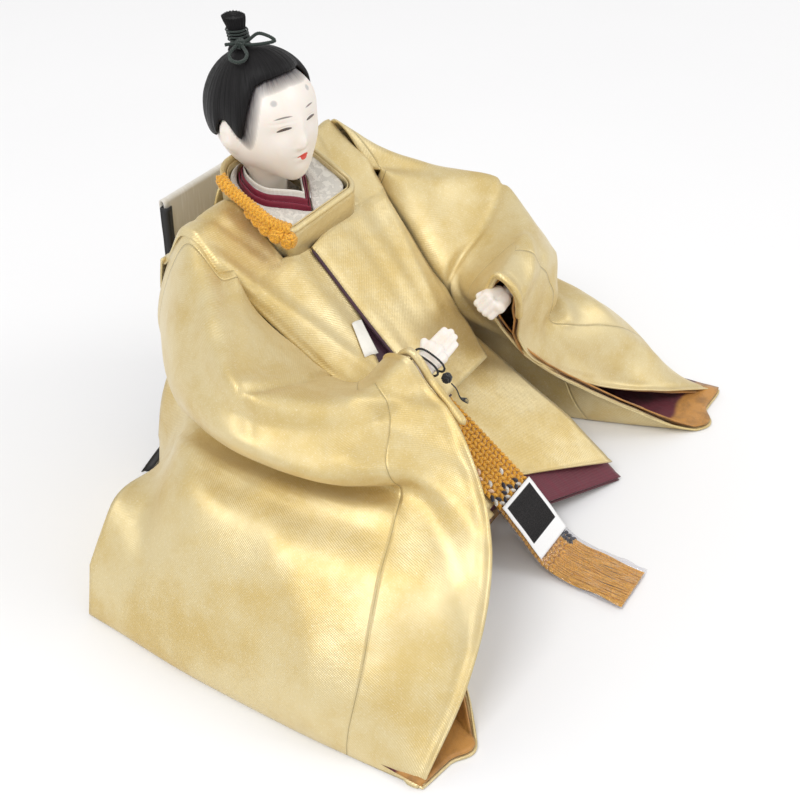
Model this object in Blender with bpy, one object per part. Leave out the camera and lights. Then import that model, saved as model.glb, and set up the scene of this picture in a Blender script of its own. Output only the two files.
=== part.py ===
"""A seated hina doll of the emperor type, in gold brocade, as separate pieces.

Units are metres, +Z is up, +X is the doll's left and -Y is its front. The origin is on the
floor below the middle of the collar.

Places on the robe are written as shares of three driving sizes: x as shares of ELBOW_HALF,
y as shares of WRIST_REACH and z as shares of CUFF_HEIGHT. Thicknesses, radii and clearances
are real sizes of their own.
"""

import math

import bmesh
import bpy
from mathutils import Matrix, Vector, noise

# Driving sizes of the robe
ELBOW_HALF = 0.100
WRIST_REACH = 0.100
CUFF_HEIGHT = 0.100

# Clearances and cloth
GAP = 0.0003
LAYER_GAP = 0.0005
BROCADE = 0.0012
SILK = 0.0008
LINING = 0.0007
OVERRUN = 0.002

# Base, straw body, neck and head
BOARD_THICKNESS = 0.006
NECK_Y = 0.0115
NECK_RADIUS = 0.0086
NECK_BOTTOM_Z = 0.1410
HEAD_CENTRE_Y = 0.011
HEAD_CENTRE_Z = 0.182
HEAD_SIDE = 0.0188
HEAD_FRONT = 0.0220
HEAD_BACK = 0.0225
HEAD_UP = 0.0225
HEAD_DOWN = 0.0240
HAIR_THICKNESS = 0.0018
HAIR_EDGE = 0.0004
HAIR_ROOM = 0.0009
ROD_RADIUS = 0.0029
ROD_LENGTH = 0.068
ROD_IN_HEAD = 0.020
TUBE_WALL = 0.0017
TUBE_LENGTH = 0.050
STRAW_TOP_Z = 0.1255

# Topknot and its cord
KNOT_Y = 0.0215
KNOT_WAIST = 0.0040
KNOT_TOP_RADIUS = 0.0062
KNOT_TOP_Z = 0.2256
KNOT_LEAN = 0.0030
KNOT_CORD_RADIUS = 0.00045
KNOT_CORD_PITCH = 0.00135
KNOT_CORD_TURNS = 4
BOW_RADIUS = 0.00075

# Collars
COLLAR_HALF = 0.0268
COLLAR_FRONT_Y = -0.0190
COLLAR_BACK_Y = 0.0305
COLLAR_CORNER = 0.0095
COLLAR_WALL = 0.0022
COLLAR_TOP_Z = 0.1431
COLLAR_BOTTOM_Z = 0.1324
COLLAR_CORD_RADIUS = 0.0021
COLLAR_KNOT_RADIUS = 0.0034
NECK_COLLAR_STEP = 0.0017
NECK_COLLAR_RUN = 0.0072
NECK_COLLAR_WALL = 0.0006

# Arms and hands
ARM_WIRE_RADIUS = 0.0015
ARM_BORE_RADIUS = 0.0021
ARM_HOLE_RADIUS = 0.0031
HAND_LENGTH = 0.0375
HAND_CORD_RADIUS = 0.00055
HAND_CORD_PITCH = 0.0040
HAND_CORD_TURNS = 2
CUFF_RADIUS = 0.0019

# Sash, film and label
SASH_THICKNESS = 0.0022
FILM_WALL = 0.0005
FILM_ROOM = 0.0003
SASH_LIFT = 0.0004
LABEL_THICKNESS = 0.0004
PAPER_THICKNESS = 0.0008

# Round resolution
ROUND_SIDES = 24

# Chest and lap surfaces, as shares
CHEST_TOP_share = 1.441
CHEST_SLOPE_share = 0.87
CROWN_share = 0.038
CROWN_HALF_share = 0.28
CROWN_Y_share = -0.17
CROWN_REACH_share = 0.25
LEFT_RIDGE_share = 1.575
RIGHT_RIDGE_share = 1.510
RIDGE_BACK_share = 0.18
BACK_EDGE_share = 0.32
BACK_DROP_share = 0.080
CHEST_BOTTOM_share = -0.895
COLLAR_CUT_share = -0.190
COLLAR_CUT_END_share = -0.165
OPENING_share = -0.105
UNDERLAP_share = 0.021
LAP_TOP_share = 1.19
LAP_SLOPE_share = 0.70
ARMHOLE_shares = ((-0.895, 0.36), (-0.53, 0.48), (-0.053, 0.594), (0.32, 0.575))
RIGHT_EDGE_shares = ((-0.895, -0.35), (-0.63, -0.21), (-0.45, -0.10), (-0.40, -0.06), (-0.19, -0.06))
SASH_SIDE_shares = (-0.210, 0.055)
SASH_TOP_share = -0.855
SASH_EDGE_share = -1.275
FILM_START_share = -1.290
LABEL_Y_shares = (-1.295, -1.515)
SASH_DROP_shares = ((-1.36, 0.225), (-1.42, 0.168), (-1.49, 0.095), (-1.55, 0.048))
SASH_END_share = -1.60
FRINGE_shares = ((-1.65, 0.018), (-1.80, 0.012), (-1.965, 0.012))

# Sleeve tracks from the back (first) to the mouth (last), for the doll's left arm
STATION_shares = (0.0, 0.3, 0.5, 0.75, 1.0)
RIDGE_shares = ((0.61, -0.05, 1.39), (0.88, -0.36, 1.28), (1.00, -0.58, 1.21), (0.74, -0.84, 1.12), (0.43, -0.96, 1.20))
BACK_shares = ((0.60, 0.26, 1.46), (0.88, -0.12, 1.22), (1.09, -0.52, 1.12), (0.84, -0.95, 1.035), (0.44, -1.12, 1.12))
UPPER_ARM_shares = ((0.66, 0.31, 0.95), (0.98, -0.10, 0.98), (1.13, -0.52, 0.99), (0.98, -0.98, 0.92), (0.55, -1.30, 0.96))
VALLEY_shares = ((0.84, 0.24, 0.64), (0.90, -0.14, 0.76), (0.92, -0.50, 0.76), (0.86, -1.00, 0.78), (0.72, -1.50, 0.80))
SHEET_HIGH_shares = ((1.08, 0.16, 0.54), (1.18, -0.22, 0.68), (1.22, -0.60, 0.66), (1.16, -1.12, 0.63), (0.95, -1.66, 0.60))
SHEET_LOW_shares = ((1.30, 0.10, 0.46), (1.47, -0.30, 0.32), (1.48, -0.75, 0.32), (1.42, -1.25, 0.34), (1.20, -1.71, 0.30))
HEM_OUT_shares = ((1.56, 0.06, 0.0), (1.57, -0.46, 0.0), (1.56, -0.90, 0.0), (1.54, -1.30, 0.0), (1.50, -1.70, 0.0))
HEM_IN_shares = ((0.78, 0.36, 0.0), (0.72, -0.10, 0.0), (0.76, -0.55, 0.0), (0.92, -1.15, 0.0), (1.19, -1.77, 0.0))
INNER_LOW_shares = ((0.64, 0.32, 0.60), (0.64, -0.20, 0.55), (0.64, -0.60, 0.50), (0.74, -0.98, 0.50), (0.88, -1.40, 0.40))
INNER_HIGH_shares = ((0.61, 0.30, 1.02), (0.56, -0.28, 1.17), (0.50, -0.54, 0.965), (0.455, -0.70, 0.88), (0.44, -0.82, 0.99))
OUTER_TRACKS = (RIDGE_shares, BACK_shares, UPPER_ARM_shares, VALLEY_shares, SHEET_HIGH_shares, SHEET_LOW_shares, HEM_OUT_shares)
INNER_TRACKS = (RIDGE_shares, INNER_HIGH_shares, INNER_LOW_shares, HEM_IN_shares)
RING_STEPS = 12
SLEEVE_STEP_shares = (0.0, 0.15, 0.3, 0.4, 0.5, 0.625, 0.75, 0.875, 1.0)
LINING_STEP_shares = (0.5, 0.625, 0.75, 0.875, 1.0)

# Arm paths from the shoulder to the wrist, for the doll's left arm and for its right
LEFT_ARM_shares = ((0.62, 0.03, 1.13), (0.77, -0.27, 1.06), (0.89, -0.54, 1.04), (0.75, -0.83, 0.995), (0.65, -0.935, 1.03), (0.56, -0.98, 1.045), (0.52, -0.975, 1.045))
RIGHT_ARM_shares = ((-0.62, 0.03, 1.13), (-0.77, -0.27, 1.06), (-0.89, -0.54, 1.04), (-0.75, -0.83, 0.995), (-0.65, -0.930, 1.03), (-0.56, -0.975, 1.065), (-0.52, -0.975, 1.07))
WIRE_IN_BODY_shares = ((-0.44, 0.21, 1.13), (-0.20, 0.21, 1.13), (0.20, 0.21, 1.13), (0.44, 0.21, 1.13))
ARM_PADDING_RADII = (0.0070, 0.0070, 0.0070, 0.0054, 0.0038, 0.0032, 0.0032)


def robe(x_share, y_share, z_share):
    """A point on the robe, from shares of its three driving sizes."""
    return Vector((x_share * ELBOW_HALF, y_share * WRIST_REACH, z_share * CUFF_HEIGHT))


def interpolate(table, value):
    """Straight-line value of a table of pairs, held level past its ends."""
    if value <= table[0][0]:
        return table[0][1]
    for (low, at_low), (high, at_high) in zip(table, table[1:]):
        if value <= high:
            return at_low + (at_high - at_low) * (value - low) / (high - low)
    return table[-1][1]


def smooth_step(low, high, value):
    part = min(max((value - low) / (high - low), 0.0), 1.0)
    return part * part * (3.0 - 2.0 * part)


def catmull(points, steps):
    """A smooth curve through points, with some steps between each pair."""
    ends = [points[0] * 2.0 - points[1]] + list(points) + [points[-1] * 2.0 - points[-2]]
    curve = []
    for before, start, end, after in zip(ends, ends[1:], ends[2:], ends[3:]):
        for step in range(steps):
            t = step / steps
            curve.append(
                0.5
                * (
                    2.0 * start
                    + (end - before) * t
                    + (2.0 * before - 5.0 * start + 4.0 * end - after) * t**2
                    + (3.0 * start - before - 3.0 * end + after) * t**3
                )
            )
    curve.append(points[-1].copy())
    return curve


def chest_height(x_share, y_share, ridge_share):
    """Height share of the robe's front: a slope, a crown at the collar and the shoulder ridge."""
    line = min(CHEST_TOP_share + CHEST_SLOPE_share * y_share, ridge_share)
    across = math.exp(-((x_share / CROWN_HALF_share) ** 2))
    along = math.exp(-(((y_share - CROWN_Y_share) / CROWN_REACH_share) ** 2))
    drop = BACK_DROP_share * smooth_step(RIDGE_BACK_share, BACK_EDGE_share, y_share)
    return line + CROWN_share * across * along - drop


def lap_height(y_share):
    return LAP_TOP_share + LAP_SLOPE_share * y_share


def material(name, colour, roughness, metallic=0.0):
    made = bpy.data.materials.new(name)
    made.use_nodes = True
    shader = made.node_tree.nodes["Principled BSDF"]
    shader.inputs["Base Color"].default_value = (*colour, 1.0)
    shader.inputs["Roughness"].default_value = roughness
    shader.inputs["Metallic"].default_value = metallic
    made.diffuse_color = (*colour, 1.0)
    return made


MATERIALS = {
    "gold_brocade": ((0.72, 0.52, 0.20), 0.38, 0.6),
    "maroon_silk": ((0.20, 0.02, 0.04), 0.6, 0.0),
    "purple_silk": ((0.10, 0.03, 0.07), 0.6, 0.0),
    "white_silk": ((0.85, 0.83, 0.80), 0.6, 0.0),
    "amber_silk": ((0.60, 0.28, 0.06), 0.5, 0.0),
    "black_silk": ((0.015, 0.013, 0.015), 0.6, 0.0),
    "orange_braid": ((0.75, 0.36, 0.03), 0.6, 0.0),
    "green_cord": ((0.01, 0.04, 0.03), 0.6, 0.0),
    "black_cord": ((0.01, 0.01, 0.01), 0.6, 0.0),
    "face_lacquer": ((0.86, 0.80, 0.74), 0.4, 0.0),
    "hair": ((0.01, 0.01, 0.012), 0.35, 0.0),
    "straw": ((0.55, 0.42, 0.20), 0.9, 0.0),
    "cotton": ((0.80, 0.78, 0.72), 0.9, 0.0),
    "board_wood": ((0.60, 0.42, 0.24), 0.6, 0.0),
    "rod_wood": ((0.68, 0.50, 0.30), 0.6, 0.0),
    "wire": ((0.45, 0.45, 0.46), 0.35, 1.0),
    "paper": ((0.90, 0.89, 0.86), 0.8, 0.0),
    "film": ((0.85, 0.88, 0.90), 0.1, 0.0),
}
made_materials = {}


def finish(obj, material_name, smooth_angle=None):
    """Gives the object its own material and its shading."""
    base = made_materials.get(material_name)
    if base is None:
        base = material(material_name, *MATERIALS[material_name])
        made_materials[material_name] = base
    own = base.copy()
    own.name = f"{obj.name}_{material_name}"
    obj.data.materials.append(own)
    if smooth_angle is not None:
        obj.data.shade_smooth()
        obj.data.set_sharp_from_angle(angle=math.radians(smooth_angle))
    return obj


def add_mesh(name, points, faces, material_name, smooth_angle=50):
    mesh = bpy.data.meshes.new(name)
    mesh.from_pydata([tuple(point) for point in points], [], faces)
    mesh.update()
    obj = bpy.data.objects.new(name, mesh)
    bpy.context.scene.collection.objects.link(obj)
    return finish(obj, material_name, smooth_angle)


def turn_faces_out(obj):
    """Points the faces of a closed mesh outwards."""
    work = bmesh.new()
    work.from_mesh(obj.data)
    bmesh.ops.recalc_face_normals(work, faces=work.faces)
    if work.calc_volume(signed=True) < 0:
        bmesh.ops.reverse_faces(work, faces=work.faces)
    work.to_mesh(obj.data)
    work.free()
    return obj


def thicken(obj, thickness, depth=0.0):
    """Makes a cloth solid from a surface, depth below it and thickness down from there."""
    solid = obj.modifiers.new("thickness", "SOLIDIFY")
    solid.thickness = thickness
    solid.offset = -1.0 - 2.0 * depth / thickness
    solid.use_even_offset = True
    solid.use_quality_normals = True
    return obj


def sheet(name, rows, thickness, material_name, up=True, smooth_angle=50, holes=()):
    """A cloth sheet from rows of points, thickened away from its outer face."""
    across = len(rows[0])
    faces = []
    for row in range(len(rows) - 1):
        for column in range(across - 1):
            if (row, column) in holes:
                continue
            first = row * across + column
            face = (first, first + 1, first + across + 1, first + across)
            faces.append(face if up else face[::-1])
    used = sorted({corner for face in faces for corner in face})
    place_of = {corner: place for place, corner in enumerate(used)}
    points = [rows[corner // across][corner % across] for corner in used]
    faces = [tuple(place_of[corner] for corner in face) for face in faces]
    return thicken(add_mesh(name, points, faces, material_name, smooth_angle), thickness)


def loft(name, rings, material_name, smooth_angle=50, capped=True):
    """A closed solid through rings of points, with a flat cap at each end."""
    count = len(rings[0])
    points = [point for ring in rings for point in ring]
    faces = []
    for ring in range(len(rings) - 1):
        for side in range(count):
            first = ring * count + side
            second = ring * count + (side + 1) % count
            faces.append((first, second, second + count, first + count))
    if capped:
        faces.append(tuple(range(count))[::-1])
        faces.append(tuple(range((len(rings) - 1) * count, len(rings) * count)))
    else:
        last = (len(rings) - 1) * count
        for side in range(count):
            other = (side + 1) % count
            faces.append((last + side, last + other, other, side))
    return turn_faces_out(add_mesh(name, points, faces, material_name, smooth_angle))


def circle(centre, radius, sides=ROUND_SIDES, across=Vector((1, 0, 0)), along=Vector((0, 1, 0))):
    ring = []
    for side in range(sides):
        angle = 2.0 * math.pi * side / sides
        ring.append(centre + across * (radius * math.cos(angle)) + along * (radius * math.sin(angle)))
    return ring


def rounded_box(half_x, low_y, high_y, z, corner, sides=5):
    """Points of a rounded rectangle at one height, anticlockwise from above."""
    ring = []
    corners = (
        (half_x - corner, high_y - corner, 0.0),
        (corner - half_x, high_y - corner, 0.5),
        (corner - half_x, low_y + corner, 1.0),
        (half_x - corner, low_y + corner, 1.5),
    )
    for centre_x, centre_y, quarter in corners:
        for side in range(sides):
            angle = math.pi * (quarter + 0.5 * side / (sides - 1))
            ring.append(Vector((centre_x + corner * math.cos(angle), centre_y + corner * math.sin(angle), z)))
    return ring


def prism(name, profile, half_width, material_name, inner=None):
    """A solid between two side faces of one (y, z) outline, with half widths that follow y."""
    sides = []
    for edge in (-1.0, 1.0):
        ring = []
        for y_share, z_share in profile:
            x_share = half_width(y_share) if edge > 0 or inner is None else inner
            ring.append(robe(edge * x_share if inner is None else x_share, y_share, z_share))
        sides.append(ring)
    return loft(name, sides, material_name, smooth_angle=30)


def frames_along(path):
    """Two unit vectors across each point of a path, carried along without twist."""
    tangents = []
    for index in range(len(path)):
        before = path[max(index - 1, 0)]
        after = path[min(index + 1, len(path) - 1)]
        tangents.append((after - before).normalized())
    side = tangents[0].orthogonal().normalized()
    frames = []
    for tangent in tangents:
        side = (side - tangent * side.dot(tangent)).normalized()
        frames.append((side, tangent.cross(side).normalized()))
    return frames


def hose(name, path, radii, bore, material_name, sides=8):
    """A padded arm: a tube round a path, with a bore right through it."""
    frames = frames_along(path)
    outside = [circle(point, radius, sides, *frame) for point, radius, frame in zip(path, radii, frames)]
    inside = [circle(point, bore, sides, *frame) for point, frame in zip(path, frames)]
    return loft(name, outside + inside[::-1], material_name, capped=False)


def rod(name, path, radius, material_name, resolution=2, cyclic=False):
    """A round rod, wire or cord along a path of points."""
    curve = bpy.data.curves.new(name, "CURVE")
    curve.dimensions = "3D"
    curve.bevel_depth = radius
    curve.bevel_resolution = resolution
    curve.use_fill_caps = True
    spline = curve.splines.new("POLY")
    spline.points.add(len(path) - 1)
    for target, point in zip(spline.points, path):
        target.co = (*point, 1.0)
    spline.use_cyclic_u = cyclic
    obj = bpy.data.objects.new(name, curve)
    bpy.context.scene.collection.objects.link(obj)
    base = material(f"{name}_{material_name}", *MATERIALS[material_name])
    curve.materials.append(base)
    return obj


def ball(name, centre, radii, material_name, rings=8, sides=14):
    """A knot or button: a small ellipsoid."""
    mesh = bpy.data.meshes.new(name)
    work = bmesh.new()
    shape = Matrix.Translation(centre) @ Matrix.Diagonal((*radii, 1.0))
    bmesh.ops.create_uvsphere(work, u_segments=sides, v_segments=rings, radius=1.0, matrix=shape)
    work.to_mesh(mesh)
    work.free()
    obj = bpy.data.objects.new(name, mesh)
    bpy.context.scene.collection.objects.link(obj)
    return finish(obj, material_name, 180)


def least_self_gap(path, radius, skip):
    """The least clear distance of a wound cord to its own other turns."""
    least = math.inf
    for index, point in enumerate(path):
        for other in path[index + skip :]:
            least = min(least, (point - other).length - 2.0 * radius)
    return least


# Base and body

BOARD_HALF_share = 0.58
BOARD_Y_shares = (-1.18, 0.30)
BODY_BACK_share = 0.28
BODY_FRONT_shares = (-0.30, -0.10)
BODY_HALF_shares = (0.48, 0.36)


def base_board():
    low, high = (share * WRIST_REACH for share in BOARD_Y_shares)
    half = BOARD_HALF_share * ELBOW_HALF
    rings = [rounded_box(half, low, high, z, BOARD_THICKNESS) for z in (0.0, BOARD_THICKNESS)]
    loft("base_board", rings, "board_wood")


def body_ring(z, sink=0.0):
    """Outline of the straw body at one height."""
    part = (z - BOARD_THICKNESS) / (STRAW_TOP_Z - BOARD_THICKNESS)
    half = (BODY_HALF_shares[0] + (BODY_HALF_shares[1] - BODY_HALF_shares[0]) * part) * ELBOW_HALF
    front = (BODY_FRONT_shares[0] + (BODY_FRONT_shares[1] - BODY_FRONT_shares[0]) * part) * WRIST_REACH
    back = BODY_BACK_share * WRIST_REACH
    return rounded_box(half - sink, front + sink, back - sink, z, BOARD_THICKNESS)


def cutter(name, path, radius):
    """A hidden round cutter along two points."""
    start, end = path
    side = (end - start).orthogonal().normalized()
    other = (end - start).normalized().cross(side)
    rings = [circle(point, radius, ROUND_SIDES, side, other) for point in (start, end)]
    obj = loft(name, rings, "straw")
    obj.hide_render = True
    obj.display_type = "WIRE"
    return obj


def cut(obj, tool):
    knife = obj.modifiers.new(tool.name, "BOOLEAN")
    knife.operation = "DIFFERENCE"
    knife.object = tool
    return obj


def tube_top_z():
    return NECK_BOTTOM_Z - GAP


def straw_body():
    """The bound straw core, drilled for the neck tube and for the arm wire."""
    levels = [BOARD_THICKNESS + GAP, STRAW_TOP_Z]
    body = loft("straw_body", [body_ring(z) for z in levels], "straw")
    tube_radius = ROD_RADIUS + GAP + TUBE_WALL
    low = Vector((0.0, NECK_Y, tube_top_z() - TUBE_LENGTH - GAP))
    high = Vector((0.0, NECK_Y, STRAW_TOP_Z + OVERRUN))
    cut(body, cutter("neck_hole_cutter", (low, high), tube_radius + GAP))
    left, right = (robe(*shares) for shares in (WIRE_IN_BODY_shares[0], WIRE_IN_BODY_shares[-1]))
    cut(body, cutter("arm_hole_cutter", (left, right), ARM_HOLE_RADIUS))


def neck_tube():
    """The paper tube in the straw that the head's rod turns in."""
    inner = ROD_RADIUS + GAP
    outer = inner + TUBE_WALL
    top = Vector((0.0, NECK_Y, tube_top_z()))
    bottom = top - Vector((0.0, 0.0, TUBE_LENGTH))
    rings = [circle(bottom, outer), circle(top, outer), circle(top, inner), circle(bottom, inner)]
    loft("neck_tube", rings, "paper", capped=False)


def head_rod():
    top = Vector((0.0, NECK_Y, NECK_BOTTOM_Z + ROD_IN_HEAD - GAP))
    rings = [circle(top - Vector((0.0, 0.0, ROD_LENGTH)), ROD_RADIUS), circle(top, ROD_RADIUS)]
    loft("head_rod", rings, "rod_wood")


# Head

HEAD_SIDES = 36
HEAD_RINGS_deg = (9, 22, 36, 50, 62, 73, 82, 90, 97, 104, 111, 118, 125, 133, 141, 149, 156)
FACE_DENSITY = 0.45
HAIRLINE_deg = ((0, 29), (41, 28), (60, 31), (73, 41), (79, 56), (83, 74), (87, 93), (91, 103), (96, 96), (104, 80), (118, 80), (132, 96), (146, 110), (180, 116))
HAIR_RINGS = 7
HAIR_SIDES = 40


def bump(theta, phi, at_theta, at_phi, wide, tall, power=2.0):
    """A smooth bump on the head, from angles in degrees."""
    return math.exp(-(abs((theta - at_theta) / wide) ** power) - abs((phi - at_phi) / tall) ** power)


CHIN_share = 0.30
NOSE_share = 0.23
BRIDGE_share = 0.07
LIPS_share = 0.035
CHEEK_share = 0.03
SOCKET_share = -0.035
EAR_share = 0.15
JAW_share = -0.14


def head_radius(theta, phi):
    """Distance of the head's skin from its centre; theta runs from the front, phi from the top."""
    turn, tip = math.radians(theta), math.radians(phi)
    x = math.sin(turn) * math.sin(tip)
    y = -math.cos(turn) * math.sin(tip)
    z = math.cos(tip)
    depth = HEAD_FRONT if y < 0 else HEAD_BACK
    height = HEAD_UP if z > 0 else HEAD_DOWN
    radius = 1.0 / math.sqrt((x / HEAD_SIDE) ** 2 + (y / depth) ** 2 + (z / height) ** 2)
    share = CHIN_share * bump(theta, phi, 0, 150, 36, 17)
    share += NOSE_share * bump(theta, phi, 0, 102, 6.5, 8) + BRIDGE_share * bump(theta, phi, 0, 88, 6, 11)
    share += LIPS_share * bump(theta, phi, 0, 122, 13, 5)
    for side in (-1, 1):
        share += SOCKET_share * bump(theta, phi, 21 * side, 88, 12, 8)
        share += CHEEK_share * bump(theta, phi, 36 * side, 108, 16, 14)
        share += EAR_share * bump(theta, phi, 109 * side, 106, 12, 18, 3.0)
        share += JAW_share * bump(theta, phi, 75 * side, 150, 40, 26)
    return radius + share * HEAD_FRONT


def head_point(theta, phi, extra=0.0):
    radius = head_radius(theta, phi) + extra
    turn, tip = math.radians(theta), math.radians(phi)
    return Vector(
        (
            radius * math.sin(turn) * math.sin(tip),
            HEAD_CENTRE_Y - radius * math.cos(turn) * math.sin(tip),
            HEAD_CENTRE_Z + radius * math.cos(tip),
        )
    )


def head_angles():
    """Angles round the head, closer together at the face."""
    angles = []
    for side in range(HEAD_SIDES):
        turn = 2.0 * math.pi * side / HEAD_SIDES - math.pi
        angles.append(math.degrees(turn - FACE_DENSITY * math.sin(turn)))
    return angles


def head():
    """The lacquered head with its neck, bored for the rod."""
    angles = head_angles()
    rings = [[head_point(theta, phi) for theta in angles] for phi in HEAD_RINGS_deg]

    def neck_ring(radius, z):
        ring = []
        for theta in angles:
            turn = math.radians(theta)
            ring.append(Vector((radius * math.sin(turn), NECK_Y - radius * math.cos(turn), z)))
        return ring

    bore = ROD_RADIUS + GAP
    rings.append(neck_ring(NECK_RADIUS, NECK_BOTTOM_Z + NECK_RADIUS))
    rings.append(neck_ring(NECK_RADIUS, NECK_BOTTOM_Z))
    rings.append(neck_ring(bore, NECK_BOTTOM_Z))
    rings.append(neck_ring(bore, NECK_BOTTOM_Z + ROD_IN_HEAD))
    loft("head", rings, "face_lacquer", smooth_angle=60)


def hair_edge(theta):
    return interpolate(HAIRLINE_deg, abs(theta))


def hair_cap():
    """The hair: a cap over the skull that thins out at the hairline."""
    angles = [360.0 * side / (HAIR_SIDES) - 180.0 for side in range(HAIR_SIDES)]
    outside, inside = [], []
    for ring in range(1, HAIR_RINGS + 1):
        part = ring / HAIR_RINGS
        outer, inner = [], []
        for theta in angles:
            phi = hair_edge(theta) * part
            thick = HAIR_EDGE + (HAIR_THICKNESS - HAIR_EDGE) * math.sqrt(max(1.0 - part**3, 0.0))
            outer.append(head_point(theta, phi, HAIR_ROOM + thick))
            inner.append(head_point(theta, phi, HAIR_ROOM))
        outside.append(outer)
        inside.append(inner)
    loft("hair_cap", outside + inside[::-1], "hair", smooth_angle=70)


def hair_top_z(x, y):
    """Height of the hair's surface over one place on the crown."""
    sideways, back = x, y - HEAD_CENTRE_Y
    theta = math.degrees(math.atan2(sideways, -back))
    flat = math.hypot(sideways, back)
    low, high = 0.0, 90.0
    for _ in range(30):
        phi = 0.5 * (low + high)
        point = head_point(theta, phi, HAIR_ROOM + HAIR_THICKNESS)
        if math.hypot(point.x, point.y - HEAD_CENTRE_Y) < flat:
            low = phi
        else:
            high = phi
    return head_point(theta, low, HAIR_ROOM + HAIR_THICKNESS).z


# Topknot

KNOT_PROFILE_shares = ((0.0, 1.25), (0.10, 1.05), (0.22, 0.98), (0.50, 0.98), (0.62, 1.06), (0.85, 1.42), (1.0, 1.55))


def knot_radius(part):
    return KNOT_WAIST * interpolate(KNOT_PROFILE_shares, part)


def knot_foot_z():
    return hair_top_z(0.0, KNOT_Y)


def knot_centre(part):
    height = KNOT_TOP_Z - knot_foot_z()
    return Vector((0.0, KNOT_Y + KNOT_LEAN * part, knot_foot_z() + height * part))


def topknot():
    """The bound lock of hair on the crown, flared at its cut top."""
    rings = []
    for part, _ in KNOT_PROFILE_shares:
        if part == 0.0:
            for radius in (KNOT_WAIST / 3, knot_radius(part)):
                foot = circle(knot_centre(part), radius)
                rings.append([Vector((p.x, p.y, hair_top_z(p.x, p.y) + GAP)) for p in foot])
        else:
            rings.append(circle(knot_centre(part), knot_radius(part)))
    loft("topknot", rings, "hair")


CORD_START_share = 0.20


def topknot_cord():
    """The dark cord wound round the topknot's waist, as one unbroken coil."""
    points = ROUND_SIDES * KNOT_CORD_TURNS
    height = KNOT_TOP_Z - knot_foot_z()
    path = []
    for step in range(points + 1):
        turn = 2.0 * math.pi * step / ROUND_SIDES
        part = CORD_START_share + KNOT_CORD_PITCH * step / ROUND_SIDES / height
        radius = knot_radius(part) + KNOT_CORD_RADIUS + GAP
        path.append(knot_centre(part) + Vector((radius * math.sin(turn), -radius * math.cos(turn), 0.0)))
    rod("topknot_cord", path, KNOT_CORD_RADIUS, "green_cord", resolution=1)
    gap = least_self_gap(path, KNOT_CORD_RADIUS, ROUND_SIDES // 2)
    print(f"topknot_cord: least gap to itself {gap * 1000:.2f} mm")


BOW_KNOT_shares = ((-0.1, -1.9, 0.28), (0.55, 0.5, 0.5))
BOW_FRONT_shares = ((0.25, -2.2, 0.10), (0.8, -3.6, 0.02), (1.5, -5.3, -0.14), (1.2, -6.4, -0.28), (0.2, -5.9, -0.22), (-0.3, -4.2, -0.04), (-0.35, -2.5, 0.10))
BOW_SIDE_shares = ((-0.65, -2.3, 0.10), (-1.8, -2.9, 0.0), (-3.6, -2.7, -0.26), (-4.2, -1.5, -0.52), (-3.2, -1.3, -0.30), (-2.0, -1.5, 0.02), (-0.75, -1.75, 0.12))


def bow_point(shares):
    """A point on the bow, in topknot radii across and topknot heights up, kept on the hair."""
    x, y, z = shares
    height = KNOT_TOP_Z - knot_foot_z()
    place = Vector((x * KNOT_WAIST, KNOT_Y + y * KNOT_WAIST, knot_foot_z() + z * height))
    centre = Vector((0.0, HEAD_CENTRE_Y, HEAD_CENTRE_Z))
    away = place - centre
    theta = math.degrees(math.atan2(away.x, -away.y))
    phi = math.degrees(math.acos(away.z / away.length))
    least = head_radius(theta, phi) + HAIR_ROOM + HAIR_THICKNESS + BOW_RADIUS + GAP
    return centre + away * max(1.0, least / away.length)


def bow():
    """The cord's bow: a knot, a loop over the crown and a loop on the doll's right."""
    centre, half = BOW_KNOT_shares
    height = KNOT_TOP_Z - knot_foot_z()
    place = Vector((centre[0] * KNOT_WAIST, KNOT_Y + centre[1] * KNOT_WAIST, knot_foot_z() + centre[2] * height))
    ball("bow_knot", place, [share * KNOT_WAIST for share in half], "green_cord")
    for name, table in (("bow_loop_front", BOW_FRONT_shares), ("bow_loop_side", BOW_SIDE_shares)):
        path = catmull([bow_point(shares) for shares in table], 5)
        rod(name, path, BOW_RADIUS, "green_cord", resolution=1)


# Collars

COLLAR_TILT_share = 0.465
NAPE_SPREAD_share = 0.52
COLLAR_APEX_Y = -0.0090
COLLAR_APEX_Z = 0.1500
COLLAR_NAPE_Y = 0.0224
COLLAR_NAPE_Z = 0.1585
COLLAR_FRONT_DROP = 0.0033
COLLAR_NAPE_DROP = 0.0013
V_OUTLINE_shares = ((0.0, 1.0), (0.30, 0.74), (0.62, 0.50), (0.90, 0.26), (1.0, 0.0), (0.97, -0.25), (0.80, -0.62), (0.45, -0.90))
NECK_COLLAR_HALF = 0.0128


def collar_z(at_front, y):
    """A height on the tilted round collar."""
    return at_front + COLLAR_TILT_share * (y - COLLAR_FRONT_Y)


def neck_collar_ring(expand, drop):
    """A V-shaped collar line: drop counts collars down from the innermost one."""
    apex_z = COLLAR_APEX_Z - COLLAR_FRONT_DROP * drop
    nape_z = COLLAR_NAPE_Z - COLLAR_NAPE_DROP * drop
    middle_y = 0.5 * (COLLAR_APEX_Y + COLLAR_NAPE_Y)
    half_y = 0.5 * (COLLAR_NAPE_Y - COLLAR_APEX_Y)
    half = []
    for x_share, y_share in V_OUTLINE_shares + ((0.0, -1.0),):
        spread = expand if y_share > 0 else NAPE_SPREAD_share * expand
        half.append(Vector((x_share * (NECK_COLLAR_HALF + expand), middle_y - y_share * (half_y + spread), 0.0)))
    ring = half + [Vector((-p.x, p.y, 0.0)) for p in half[-2:0:-1]]
    low, high = ring[0].y, half[-1].y
    for point in ring:
        part = (point.y - low) / (high - low)
        point.z = apex_z + (nape_z - apex_z) * part**0.8
    return ring


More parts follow.
